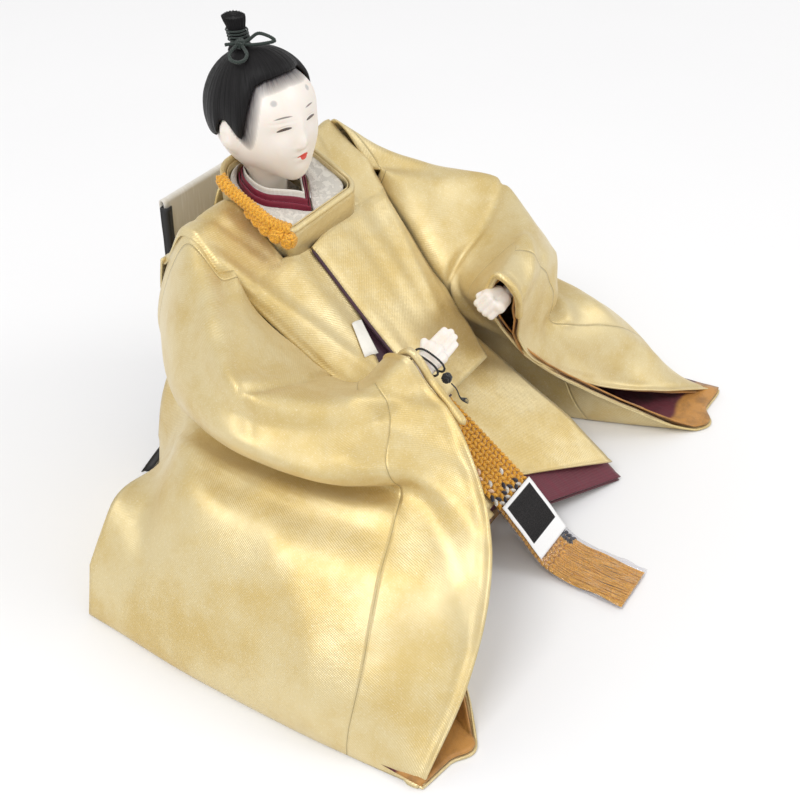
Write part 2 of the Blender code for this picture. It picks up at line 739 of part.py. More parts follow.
def band(name, top, bottom, thickness, material_name):
    """A closed collar band between two rings of equally many points, thickened inwards."""
    count = len(top)
    faces = [(side, (side + 1) % count, count + (side + 1) % count, count + side) for side in range(count)]
    obj = add_mesh(name, top + bottom, faces, material_name)
    middle = sum(top, Vector()) / count
    first = obj.data.polygons[0]
    if first.normal.dot(first.center - middle) < 0:
        obj.data.flip_normals()
    return thicken(obj, thickness)


def neck_collar(name, drop, material_name):
    top = neck_collar_ring(NECK_COLLAR_STEP * drop, drop)
    bottom = neck_collar_ring(NECK_COLLAR_STEP * drop + 0.2 * NECK_COLLAR_RUN, drop)
    for point in bottom:
        point.z -= NECK_COLLAR_RUN
    band(name, top, bottom, NECK_COLLAR_WALL, material_name)


def neck_collars():
    neck_collar("white_collar", 0, "white_silk")
    neck_collar("maroon_collar_inner", 1, "maroon_silk")
    neck_collar("maroon_collar_outer", 2, "maroon_silk")


def round_collar_ring(inset, z_front):
    ring = rounded_box(COLLAR_HALF - inset, COLLAR_FRONT_Y + inset, COLLAR_BACK_Y - inset, 0.0, COLLAR_CORNER - inset)
    for point in ring:
        point.z = collar_z(z_front, point.y)
    return ring


def robe_collar():
    """The stiff round collar of the outer robe, tilted with the shoulders."""
    outer = [round_collar_ring(0.0, z) for z in (COLLAR_BOTTOM_Z, COLLAR_TOP_Z)]
    inner = [round_collar_ring(COLLAR_WALL, z) for z in (COLLAR_TOP_Z, COLLAR_BOTTOM_Z)]
    loft("robe_collar", outer + inner, "gold_brocade", capped=False)


def collar_lining():
    """The thin gold rim inside the round collar."""
    start = COLLAR_WALL + GAP
    rise = COLLAR_WALL / 2
    outer = [round_collar_ring(start, z) for z in (COLLAR_BOTTOM_Z + rise, COLLAR_TOP_Z - rise)]
    inner = [round_collar_ring(start + SILK, z) for z in (COLLAR_TOP_Z - rise, COLLAR_BOTTOM_Z + rise)]
    loft("collar_lining", outer + inner, "gold_brocade", capped=False)


BROCADE_DROP_share = 3
FAN_POWER = 5
BROCADE_SINK = 0.0030


def fan_ring(inner_ring, inset, z_front):
    """Points on the inside of the round collar, one for each point of a collar line."""
    middle = Vector((0.0, 0.5 * (COLLAR_FRONT_Y + COLLAR_BACK_Y), 0.0))
    half_x = COLLAR_HALF - inset
    half_y = 0.5 * (COLLAR_BACK_Y - COLLAR_FRONT_Y) - inset
    ring = []
    for point in inner_ring:
        away = Vector((point.x, point.y - middle.y, 0.0)).normalized()
        reach = (abs(away.x / half_x) ** FAN_POWER + abs(away.y / half_y) ** FAN_POWER) ** (-1.0 / FAN_POWER)
        place = middle + away * reach
        ring.append(Vector((place.x, place.y, collar_z(z_front, place.y))))
    return ring


def brocade_collar():
    """The white brocade under-robe: a wide collar between the silk collars and the round one."""
    top = neck_collar_ring(NECK_COLLAR_STEP * BROCADE_DROP_share, BROCADE_DROP_share)
    inset = COLLAR_WALL + SILK + 4 * GAP
    rim = fan_ring(top, inset, COLLAR_TOP_Z - BROCADE_SINK)
    band("brocade_collar", top, rim, NECK_COLLAR_WALL, "white_silk")


COLLAR_PAD_HALF = 0.0215
COLLAR_PAD_Y = (-0.0100, 0.0262)
COLLAR_PAD_TOP_Z = 0.1270
PAD_SIDES = 20


def collar_padding():
    """The cotton wedge under the tilted collars, open for the neck."""
    low, high = COLLAR_PAD_Y
    rings = []
    for z_front in (None, COLLAR_PAD_TOP_Z):
        ring = rounded_box(COLLAR_PAD_HALF, low, high, STRAW_TOP_Z + GAP, COLLAR_CORNER)
        if z_front is not None:
            for point in ring:
                point.z = collar_z(z_front, point.y)
        rings.append(ring)
    opening = circle(Vector((0.0, NECK_Y, 0.0)), NECK_RADIUS + LAYER_GAP, PAD_SIDES)
    upper, lower = [], []
    for point in opening:
        upper.append(Vector((point.x, point.y, collar_z(COLLAR_PAD_TOP_Z, point.y))))
        lower.append(Vector((point.x, point.y, STRAW_TOP_Z + GAP)))
    loft("collar_padding", rings + [upper, lower], "cotton", capped=False)


COLLAR_CORD_shares = ((-0.62, 0.98), (-0.93, 0.84), (-1.0, 0.50), (-1.0, 0.10), (-1.0, -0.30), (-0.97, -0.66), (-0.80, -0.90))
COLLAR_CORD_SINK = 0.0030
COLLAR_KNOT_share = (-0.66, -1.0)
COLLAR_KNOT_AWAY = 0.0033


def beside_collar(x_share, y_share, away, sink):
    """A place just outside the round collar."""
    middle_y = 0.5 * (COLLAR_FRONT_Y + COLLAR_BACK_Y)
    half_y = 0.5 * (COLLAR_BACK_Y - COLLAR_FRONT_Y)
    y = middle_y + y_share * (half_y + away)
    return Vector((x_share * (COLLAR_HALF + away), y, collar_z(COLLAR_TOP_Z, y) + away - sink))


def collar_cord():
    """The plaited cord that closes the collar, along its right side, and its knot."""
    away = COLLAR_CORD_RADIUS + GAP
    path = [beside_collar(x, y, away, 0.0) for x, y in COLLAR_CORD_shares]
    rod("collar_cord", catmull(path, 4), COLLAR_CORD_RADIUS, "orange_braid", resolution=2)
    x, y = COLLAR_KNOT_share
    centre = beside_collar(x, y, COLLAR_KNOT_AWAY, COLLAR_KNOT_RADIUS)
    ball("collar_knot", centre, [COLLAR_KNOT_RADIUS] * 3, "orange_braid")


# Robe fronts and back

FRONT_Y_shares = (-0.895, -0.78, -0.66, -0.53, -0.45, -0.36, -0.27, -0.195, -0.165, -0.10, -0.053, 0.03, 0.10, 0.15, 0.18, 0.25, 0.32)
FRONT_COLUMNS = 6
UNDERLAP_X_shares = (-0.24, -0.12)


def neck_side_share():
    return (COLLAR_HALF + LAYER_GAP) / ELBOW_HALF


def right_height(x_share, y_share):
    """Height share of the right front, which dips where the left front laps over it."""
    dip = UNDERLAP_share * smooth_step(*UNDERLAP_X_shares, x_share)
    return chest_height(x_share, y_share, RIGHT_RIDGE_share) - dip


def left_height(x_share, y_share):
    return chest_height(x_share, y_share, LEFT_RIDGE_share)


def front_rows(inner_edge, outer_sign, height):
    rows = []
    for y_share in FRONT_Y_shares:
        inner = inner_edge(y_share)
        outer = outer_sign * interpolate(ARMHOLE_shares, y_share)
        row = []
        for column in range(FRONT_COLUMNS + 1):
            x_share = inner + (outer - inner) * column / FRONT_COLUMNS
            row.append(robe(x_share, y_share, height(x_share, y_share)))
        rows.append(row)
    return rows


def robe_fronts():
    """The two fronts of the outer robe, cut round the collar; the left one laps over."""

    def left_edge(y_share):
        return OPENING_share if y_share < COLLAR_CUT_share else neck_side_share()

    def right_edge(y_share):
        return interpolate(RIGHT_EDGE_shares, y_share) if y_share < COLLAR_CUT_share else -neck_side_share()

    left = front_rows(left_edge, 1.0, left_height)
    right = front_rows(right_edge, -1.0, right_height)
    sheet("robe_front_left", left, BROCADE, "gold_brocade")
    sheet("robe_front_right", right, BROCADE, "gold_brocade", up=False)


STRIP_X_shares = (-0.120, -0.109)
STRIP_RISE_share = 0.003
STRIP_SINK_share = 0.0145


def front_edge_strip():
    """The dark piping along the edge of the left front."""
    rings = []
    for y_share in FRONT_Y_shares:
        if y_share > COLLAR_CUT_share:
            continue
        top = left_height(OPENING_share, y_share) + STRIP_RISE_share
        bottom = left_height(OPENING_share, y_share) - STRIP_SINK_share
        low, high = STRIP_X_shares
        rings.append([robe(low, y_share, bottom), robe(high, y_share, bottom), robe(high, y_share, top), robe(low, y_share, top)])
    loft("front_edge_strip", rings, "maroon_silk")


FACING_X_shares = (-0.40, 0.04)
FACING_Y_shares = (-0.885, -0.76, -0.64, -0.53, -0.42)
FACING_DEPTH_share = 0.043


def dark_facing():
    """The dark under-layer that shows where the right front falls away."""
    low, high = FACING_X_shares
    rows = []
    for y_share in FACING_Y_shares:
        row = []
        for column in range(FRONT_COLUMNS + 1):
            x_share = low + (high - low) * column / FRONT_COLUMNS
            row.append(robe(x_share, y_share, left_height(x_share, y_share) - FACING_DEPTH_share))
        rows.append(row)
    sheet("dark_facing", rows, SILK, "purple_silk")


PAPER_CORNER_shares = ((-0.276, -0.605), (-0.206, -0.487), (-0.209, -0.620), (-0.153, -0.489))
PAPER_STEPS = 4


def tucked_paper():
    """The folded paper tucked into the front."""
    low_left, high_left, low_right, high_right = PAPER_CORNER_shares
    rise = (PAPER_THICKNESS + LAYER_GAP + GAP) * math.hypot(1.0, CHEST_SLOPE_share) / CUFF_HEIGHT
    rows = []
    for step in range(PAPER_STEPS + 1):
        along = step / PAPER_STEPS
        row = []
        for column in range(PAPER_STEPS + 1):
            across = column / PAPER_STEPS
            left = [a + (b - a) * along for a, b in zip(low_left, high_left)]
            right = [a + (b - a) * along for a, b in zip(low_right, high_right)]
            x_share, y_share = (a + (b - a) * across for a, b in zip(left, right))
            row.append(robe(x_share, y_share, right_height(x_share, y_share) + rise))
        rows.append(row)
    sheet("tucked_paper", rows, PAPER_THICKNESS, "paper")


PADDING_DEPTH_share = 0.062
CHEST_PAD_Y_shares = (-0.84, -0.62, -0.36, -0.115)
CHEST_PAD_HALF_shares = (0.585, 0.30)
LAP_CLEAR_share = 0.012


def body_front_share(z_share):
    part = (z_share * CUFF_HEIGHT - BOARD_THICKNESS) / (STRAW_TOP_Z - BOARD_THICKNESS)
    low, high = BODY_FRONT_shares
    return low + (high - low) * part - 2 * GAP / WRIST_REACH


def chest_padding():
    """The cotton wedge that gives the chest its slope."""
    top = [(y, CHEST_TOP_share + CHEST_SLOPE_share * y - PADDING_DEPTH_share) for y in CHEST_PAD_Y_shares]
    shelf = lap_height(CHEST_PAD_Y_shares[1]) + LAP_CLEAR_share
    bottom = [
        (body_front_share(top[-1][1]), top[-1][1]),
        (body_front_share(shelf), shelf),
        (CHEST_PAD_Y_shares[1], shelf),
        (CHEST_PAD_Y_shares[0], lap_height(CHEST_PAD_Y_shares[0]) + LAP_CLEAR_share),
    ]
    at_zero, slope = CHEST_PAD_HALF_shares
    prism("chest_padding", top[:-1] + bottom, lambda y: at_zero + slope * y, "cotton")


LAP_PAD_DEPTH_share = 0.060
LAP_PAD_Y_shares = (-1.06, -0.62)
LAP_PAD_HALF_shares = (0.40, -0.08)
LAP_PAD_INNER_share = 0.01


def lap_paddings():
    """The stuffed knees under the skirts, one each side."""
    front, back = LAP_PAD_Y_shares
    floor = (BOARD_THICKNESS + GAP) / CUFF_HEIGHT
    shelf = lap_height(back) - LAP_PAD_DEPTH_share
    profile = [
        (front, floor),
        (front, lap_height(front) - LAP_PAD_DEPTH_share),
        (back, lap_height(back) - LAP_PAD_DEPTH_share),
        (body_front_share(shelf), lap_height(back) - LAP_PAD_DEPTH_share),
        (body_front_share(floor), floor),
    ]
    at_zero, slope = LAP_PAD_HALF_shares
    for name, side in (("left_knee_padding", 1.0), ("right_knee_padding", -1.0)):
        rings = []
        for inner in (True, False):
            ring = []
            for y_share, z_share in profile:
                x_share = LAP_PAD_INNER_share if inner else at_zero + slope * y_share
                ring.append(robe(side * x_share, y_share, z_share))
            rings.append(ring)
        loft(name, rings, "cotton", smooth_angle=30)


BACK_Z_shares = (0.006, 0.30, 0.60, 0.90, 1.20, 1.42)
BACK_Y_table_shares = ((0.0, 0.40), (0.3, 0.37), (0.6, 0.35), (0.9, 0.34), (1.2, 0.336), (1.5, 0.336))
BACK_HALF_table_shares = ((0.0, 0.64), (0.3, 0.62), (0.6, 0.60), (0.9, 0.57), (1.2, 0.56), (1.5, 0.55))
BACK_COLUMNS = 8


def robe_back():
    """The back of the outer robe, from the shoulders to the floor."""
    rows = []
    for z_share in BACK_Z_shares:
        half = interpolate(BACK_HALF_table_shares, z_share)
        y_share = interpolate(BACK_Y_table_shares, z_share)
        row = []
        for column in range(BACK_COLUMNS + 1):
            x_share = half * (2.0 * column / BACK_COLUMNS - 1.0)
            row.append(robe(x_share, y_share, z_share))
        rows.append(row)
    sheet("robe_back", rows, BROCADE, "gold_brocade", up=False)


POUCH_shares = (0.30, 0.50, 0.95)
TRAIN_Y_share = 0.475
TRAIN_Z_shares = (0.003, 0.12, 0.25, 0.55, 0.95, 1.30, 1.44)
TRAIN_HALF_table_shares = ((0.0, 0.68), (0.12, 0.48), (0.25, 0.33), (1.44, 0.32))
TRAIN_Y_table_shares = ((0.0, 0.515), (0.12, 0.485), (0.25, 0.475), (1.30, 0.475), (1.44, 0.500))
TRAIN_LINING_REAR_shares = ((0.0, 0.024), (0.9, 0.018), (1.30, 0.050), (1.44, 0.085))
TRAIN_FOLD_share = 0.014


def back_pouch():
    """The padded fold of the robe behind the waist, which the train hangs on."""
    half, low, high = POUCH_shares
    front = interpolate(BACK_Y_table_shares, low) * WRIST_REACH + LAYER_GAP
    back = TRAIN_Y_share * WRIST_REACH - BROCADE - LAYER_GAP
    rings = []
    for z_share in (low, high):
        rings.append(rounded_box(half * ELBOW_HALF, front, back, z_share * CUFF_HEIGHT, (back - front) / 3))
    loft("back_pouch", rings, "gold_brocade")


def train():
    """The train: a pale face with a dark lining folded round its edges."""
    face_rows, lining_rings = [], []
    thick = BROCADE / WRIST_REACH
    for z_share in TRAIN_Z_shares:
        half = interpolate(TRAIN_HALF_table_shares, z_share)
        y_share = interpolate(TRAIN_Y_table_shares, z_share)
        rear = y_share + interpolate(TRAIN_LINING_REAR_shares, z_share)
        face_rows.append([robe(half * (c / 3.0 - 1.0), y_share, z_share) for c in range(7)])
        start = y_share + LAYER_GAP / WRIST_REACH
        edge = half + TRAIN_FOLD_share
        lining_rings.append(
            [
                robe(-half - LAYER_GAP / ELBOW_HALF, y_share - thick, z_share),
                robe(-edge, y_share - thick, z_share),
                robe(-edge, rear, z_share),
                robe(edge, rear, z_share),
                robe(edge, y_share - thick, z_share),
                robe(half + LAYER_GAP / ELBOW_HALF, y_share - thick, z_share),
                robe(half + LAYER_GAP / ELBOW_HALF, start, z_share),
                robe(-half - LAYER_GAP / ELBOW_HALF, start, z_share),
            ]
        )
    sheet("train_face", face_rows, BROCADE, "white_silk", up=False)
    loft("train_lining", lining_rings, "black_silk", smooth_angle=40)


# Skirts and sash

SKIRT_TOP_share = -0.62
SKIRT_COLUMNS = 12
UPPER_ROWS = 4
LOWER_ROWS = 3
NOTCH_CLEAR_share = 0.045
DROOP_Y_shares = (1.18, 1.42)


def skirt(name, halves, notch, at_notch, hem, depth, thickness, material_name, droop):
    """One skirt layer on the lap, from under the chest to its hem, cut back under the sash."""
    low, high = notch
    even = [halves[1] * (2.0 * c / SKIRT_COLUMNS - 1.0) for c in range(SKIRT_COLUMNS + 1)]
    kept = [x for x in even if not low - NOTCH_CLEAR_share < x < high + NOTCH_CLEAR_share]
    columns = sorted(kept + [low, 0.5 * (low + high), high])
    at_zero, slope = hem
    rows = []
    for row in range(UPPER_ROWS + LOWER_ROWS + 1):
        upper = min(row / UPPER_ROWS, 1.0)
        lower = max(row - UPPER_ROWS, 0) / LOWER_ROWS
        line = []
        for x_share in columns:
            hem_y = at_zero - slope * abs(x_share)
            y_share = SKIRT_TOP_share + (at_notch - SKIRT_TOP_share) * upper + (hem_y - at_notch) * lower
            part = (SKIRT_TOP_share - y_share) / (SKIRT_TOP_share - at_notch)
            narrow = (halves[0] + (halves[1] - halves[0]) * min(part, 1.0)) / halves[1]
            fall = droop * smooth_step(*DROOP_Y_shares, -y_share)
            line.append(robe(x_share * narrow, y_share, lap_height(y_share) - depth - fall))
        rows.append(line)
    holes = set()
    for row in range(UPPER_ROWS, UPPER_ROWS + LOWER_ROWS):
        for column in range(len(columns) - 1):
            if low <= columns[column] < high:
                holes.add((UPPER_ROWS + LOWER_ROWS - 1 - row, column))
    return sheet(name, rows[::-1], thickness, material_name, holes=holes)


def skirts():
    """Three layers on the lap: gold skirt band, maroon under-robe and its lining."""
    skirt("skirt_band", (0.46, 0.58), (-0.240, 0.070), -1.27, (-1.24, 0.50), 0.0, BROCADE, "gold_brocade", 0.0)
    skirt("under_robe", (0.47, 0.60), (-0.250, 0.080), -1.265, (-1.367, 0.355), 0.0195, SILK, "maroon_silk", 0.040)
    skirt("under_robe_lining", (0.46, 0.595), (-0.255, 0.085), -1.265, (-1.367, 0.355), 0.0390, LINING, "purple_silk", 0.040)


def sash_line():
    """Underside of the sash and its fringe as (y, z) places: on the lap, then to the floor."""
    places = [(SASH_TOP_share, lap_height(SASH_TOP_share)), (SASH_EDGE_share, lap_height(SASH_EDGE_share))]
    lifted = [(y, z + SASH_LIFT / CUFF_HEIGHT) for y, z in places]
    return [Vector((y * WRIST_REACH, z * CUFF_HEIGHT)) for y, z in lifted + list(SASH_DROP_shares + FRINGE_shares)]


def offset_line(line, distance):
    """A line beside another one at an even distance, above it where distance is positive."""
    moved = []
    for index, point in enumerate(line):
        before = line[max(index - 1, 0)]
        after = line[min(index + 1, len(line) - 1)]
        first = (point - before).normalized() if index else (after - point).normalized()
        second = (after - point).normalized() if index < len(line) - 1 else first
        normal = Vector((first.y + second.y, -first.x - second.x)).normalized()
        mitre = normal.dot(Vector((first.y, -first.x)))
        moved.append(point + normal * (distance / mitre))
    return moved


def part_of_line(line, start, end):
    """The stretch of a line between two distances along y, with its own end points."""
    table = tuple(sorted((point.x, point.y) for point in line))
    inside = [point for point in line if end < point.x < start]
    ends = [Vector((y, interpolate(table, y))) for y in (start, end)]
    return [ends[0]] + inside + [ends[1]]


def strap_rings(line, sides, low, high):
    """Rings of four points round a strap that follows a line."""
    left, right = sides
    rings = []
    for under, over in zip(offset_line(line, low), offset_line(line, high)):
        ring = [(left, under), (right, under), (right, over), (left, over)]
        rings.append([Vector((x, point.x, point.y)) for x, point in ring])
    return rings


def sash_and_film():
    """The braided sash, its fringe, the clear film round them and the bare label."""
    line = sash_line()
    sides = [share * ELBOW_HALF for share in SASH_SIDE_shares]
    end = FRINGE_shares[-1][0] * WRIST_REACH
    join = SASH_END_share * WRIST_REACH
    sash_part = part_of_line(line, line[0].x, join + GAP)
    loft("sash", strap_rings(sash_part, sides, 0.0, SASH_THICKNESS), "orange_braid", 30)
    fringe_part = part_of_line(line, join, end)
    loft("sash_fringe", strap_rings(fringe_part, sides, 0.0, SASH_THICKNESS), "amber_silk", 30)
    film_part = part_of_line(line, FILM_START_share * WRIST_REACH, end)
    room = FILM_ROOM
    wide = [sides[0] - room, sides[1] + room]
    inside = strap_rings(film_part, wide, -room, SASH_THICKNESS + room)
    room += FILM_WALL
    wide = [sides[0] - room, sides[1] + room]
    outside = strap_rings(film_part, wide, -room, SASH_THICKNESS + room)
    loft("film_sleeve", outside + inside[::-1], "film", 30, capped=False)
    start, stop = (share * WRIST_REACH for share in LABEL_Y_shares)
    under = SASH_THICKNESS + room + GAP
    label_rings = strap_rings(part_of_line(line, start, stop), sides, under, under + LABEL_THICKNESS)
    loft("label", label_rings, "paper", 30)


# Sleeves and arms


def track_point(track, part):
    axes = []
    for axis in range(3):
        table = tuple((s, point[axis]) for s, point in zip(STATION_shares, track))
        axes.append(interpolate(table, part))
    return axes


def chain(tracks, part, steps):
    """Points down one side of a sleeve, equally many between each pair of tracks."""
    corners = [track_point(track, part) for track in tracks]
    each = steps // (len(tracks) - 1)
    points = []
    for start, end in zip(corners, corners[1:]):
        for step in range(1, each + 1):
            t = step / each
            points.append([a + (b - a) * t for a, b in zip(start, end)])
    return points


def sleeve_ring(part, side):
    """One ring of a sleeve: ridge, outer sheet, floor, then the inner sheet back up."""
    ridge = [track_point(RIDGE_shares, part)]
    outer = chain(OUTER_TRACKS, part, RING_STEPS)
    inner = chain(INNER_TRACKS, part, RING_STEPS)
    floor = [[0.5 * (a + b) for a, b in zip(outer[-1], inner[-1])]]
    return [robe(side * x, y, z) for x, y, z in ridge + outer + floor + inner[::-1]]


ARMHOLE_STEPS = (2, 5)
ARMHOLE_STATIONS = 2


def sleeve_surface(name, side, stations, material_name, closed_back):
    """The outer face of a sleeve, open at the mouth and, near the shoulder, for the arm."""
    rings = [sleeve_ring(part, side) for part in stations]
    count = len(rings[0])
    faces = []
    for ring in range(len(rings) - 1):
        for step in range(count):
            inner_step = count - 1 - step
            in_armhole = ARMHOLE_STEPS[0] <= inner_step < ARMHOLE_STEPS[1]
            if closed_back and ring < ARMHOLE_STATIONS and in_armhole:
                continue
            first = ring * count + step
            second = ring * count + (step + 1) % count
            faces.append((first, second, second + count, first + count))
    if closed_back:
        faces.append((0, count - 1, 1))
        for step in range(1, RING_STEPS - 1):
            faces.append((step, count - step, count - step - 1, step + 1))
        last = RING_STEPS - 1
        faces.append((last, count - last, last + 3, last + 2, last + 1))
    if side > 0:
        faces = [face[::-1] for face in faces]
    points = [point for ring in rings for point in ring]
    return add_mesh(name, points, faces, material_name, 40)


def sleeves():
    """Each sleeve is a bag of brocade with a silk lining inside its mouth."""
    for name, side in (("left", 1.0), ("right", -1.0)):
        outer = sleeve_surface(f"{name}_sleeve", side, SLEEVE_STEP_shares, "gold_brocade", True)
        thicken(outer, BROCADE)
        lining = sleeve_surface(f"{name}_sleeve_lining", side, LINING_STEP_shares, "amber_silk", False)
        thicken(lining, LINING, BROCADE + 2 * LAYER_GAP)


CUFF_TRACKS = (INNER_HIGH_shares, RIDGE_shares, BACK_shares, UPPER_ARM_shares)
CUFF_OUT_shares = ((-0.028, 0.010, 0.0), (-0.026, 0.0, 0.012), (-0.026, -0.010, 0.0), (-0.018, -0.020, 0.0))


def cuffs():
    """The rolled hem at the wrist end of each sleeve's mouth."""
    for name, side in (("left", 1.0), ("right", -1.0)):
        path = []
        for track, out in zip(CUFF_TRACKS, CUFF_OUT_shares):
            x, y, z = (place + shift for place, shift in zip(track[-1], out))
            path.append(robe(side * x, y, z))
        rod(f"{name}_cuff", catmull(path, 5), CUFF_RADIUS, "gold_brocade", resolution=2)


ARM_STEPS = 3
WIRE_SHORT_STEPS = 5
ROD_IN_ARM = 0.0040
ROD_IN_HAND = 0.0080
LEFT_HAND_AXIS = Vector((-1.0, 0.12, 0.0)).normalized()
RIGHT_HAND_AXIS = Vector((1.0, 0.0, 0.13)).normalized()
LEFT_HAND_BACK = Vector((0.10, -0.52, 0.85))
RIGHT_HAND_BACK = Vector((-0.10, -0.52, 0.85))


def arm_curve():
    """The wire's line from the right wrist through the body to the left wrist."""
    points = [robe(*shares) for shares in RIGHT_ARM_shares[::-1] + WIRE_IN_BODY_shares + LEFT_ARM_shares]
    return catmull(points, ARM_STEPS)


def arms():
    """One bent wire through both arms, with a bored cotton padding on each side."""
    curve = arm_curve()
    rod("arm_wire", curve[WIRE_SHORT_STEPS:-WIRE_SHORT_STEPS], ARM_WIRE_RADIUS, "wire", resolution=1)
    length = ARM_STEPS * (len(LEFT_ARM_shares) - 1) + 1
    table = tuple(zip(range(0, length, ARM_STEPS), ARM_PADDING_RADII))
    radii = [interpolate(table, step) for step in range(length)]
    hose("left_arm_padding", curve[-length:], radii, ARM_BORE_RADIUS, "cotton")
    hose("right_arm_padding", curve[:length], radii[::-1], ARM_BORE_RADIUS, "cotton")


FLAT_HAND_shares = (
    ((0.00, 0.0, 0.0), (0.34, 0.0, 0.0), 0.095),
    ((0.28, 0.06, 0.0), (0.60, 0.10, 0.0), 0.072),
    ((0.28, 0.0, 0.005), (0.62, 0.0, 0.005), 0.080),
    ((0.28, -0.06, 0.0), (0.58, -0.10, 0.0), 0.070),
    ((0.58, 0.112, 0.0), (0.915, 0.100, -0.010), 0.045),
    ((0.60, 0.036, 0.004), (0.955, 0.030, -0.006), 0.046),
    ((0.59, -0.040, 0.002), (0.935, -0.040, -0.010), 0.045),
    ((0.57, -0.112, -0.004), (0.87, -0.108, -0.020), 0.041),
    ((0.47, 0.11, -0.01), (0.60, 0.185, -0.02), 0.052),
)
FIST_shares = (
    ((0.00, 0.0, 0.0), (0.34, 0.0, 0.0), 0.095),
    ((0.36, 0.05, 0.0), (0.52, 0.09, 0.02), 0.105),
    ((0.36, -0.05, 0.0), (0.52, -0.09, 0.02), 0.100),
    ((0.56, 0.120, 0.045), (0.655, 0.120, -0.080), 0.052),
    ((0.57, 0.040, 0.050), (0.670, 0.040, -0.085), 0.053),
    ((0.56, -0.040, 0.045), (0.655, -0.040, -0.090), 0.052),
    ((0.54, -0.115, 0.035), (0.630, -0.115, -0.090), 0.048),
    ((0.655, 0.120, -0.080), (0.520, 0.110, -0.130), 0.050),
    ((0.670, 0.040, -0.085), (0.530, 0.030, -0.140), 0.050),
    ((0.655, -0.040, -0.090), (0.520, -0.045, -0.140), 0.050),
    ((0.630, -0.115, -0.090), (0.500, -0.110, -0.130), 0.047),
    ((0.38, 0.14, -0.03), (0.58, 0.175, -0.05), 0.050),
)
CAPSULE_SIDES = 12
HAND_VOXEL = 0.00075
HAND_DETAIL = 0.16


def hand_frame(wrist, axis, back):
    """Matrix of a hand: x along the fingers, y towards the thumb, z out of its back."""
    back = (back - axis * back.dot(axis)).normalized()
    thumb = back.cross(axis) if axis.x > 0 else axis.cross(back)
    turn = Matrix((axis, thumb, back)).transposed()
    return Matrix.Translation(wrist) @ turn.to_4x4()


def add_capsule(work, frame, start, end, radius):
    """Adds a tapered finger bone: a tube between two balls."""
    start, end = Vector(start) * HAND_LENGTH, Vector(end) * HAND_LENGTH
    thick = radius * HAND_LENGTH
    turn = (end - start).to_track_quat("Z", "Y").to_matrix().to_4x4()
    middle = Matrix.Translation((start + end) / 2)
    bmesh.ops.create_cone(
        work,
        cap_ends=True,
        segments=CAPSULE_SIDES,
        radius1=thick,
        radius2=thick,
        depth=(end - start).length,
        matrix=frame @ middle @ turn,
    )
    for point in (start, end):
        place = frame @ Matrix.Translation(point)
        bmesh.ops.create_uvsphere(work, u_segments=CAPSULE_SIDES, v_segments=8, radius=thick, matrix=place)


def hand(name, wrist, axis, back, table):
    """A lacquered hand, blended from its bones, with a hole for its rod."""
    mesh = bpy.data.meshes.new(name)
    work = bmesh.new()
    frame = hand_frame(wrist, axis, back)
    for start, end, radius in table:
        add_capsule(work, frame, start, end, radius)
    work.to_mesh(mesh)
    work.free()
    obj = bpy.data.objects.new(name, mesh)
    bpy.context.scene.collection.objects.link(obj)
    finish(obj, "face_lacquer", 180)
    blend = obj.modifiers.new("blend", "REMESH")
    blend.mode = "VOXEL"
    blend.voxel_size = HAND_VOXEL
    blend.use_smooth_shade = True
    fewer = obj.modifiers.new("fewer", "DECIMATE")
    fewer.ratio = HAND_DETAIL
    inside = wrist + axis * (ROD_IN_HAND + GAP)
    outside = wrist - axis * (HAND_LENGTH * table[0][2] + OVERRUN)
    cut(obj, cutter(f"{name}_cutter", (outside, inside), ARM_WIRE_RADIUS + GAP))
    return frame


def hands():
    """Each hand turns on the rod that joins it to its padded arm."""
    parts = (
        ("left", LEFT_ARM_shares, LEFT_HAND_AXIS, LEFT_HAND_BACK, FIST_shares),
        ("right", RIGHT_ARM_shares, RIGHT_HAND_AXIS, RIGHT_HAND_BACK, FLAT_HAND_shares),
    )
    for name, arm, axis, back, table in parts:
        end = robe(*arm[-1])
        wrist = end + axis * (HAND_LENGTH * table[0][2] + GAP)
        frame = hand(f"{name}_hand", wrist, axis, back, table)
        path = [end - axis * ROD_IN_ARM, wrist + axis * ROD_IN_HAND]
        rod(f"{name}_hand_rod", path, ARM_WIRE_RADIUS, "wire", resolution=2)
    hand_cord(frame)


HAND_CORD_START_share = 0.27
HAND_CORD_WIDTH_shares = ((0.27, 0.165), (0.34, 0.175), (0.46, 0.205))
HAND_CORD_DEPTH_share = 0.120
HAND_CORD_POWER = 2.4
HAND_KNOT_shares = (0.42, -0.285, -0.02)
HAND_KNOT_RADIUS = 0.0021
HAND_TAIL_shares = ((0.42, -0.370, -0.04), (0.45, -0.46, -0.10), (0.44, -0.56, -0.16), (0.50, -0.64, -0.20))


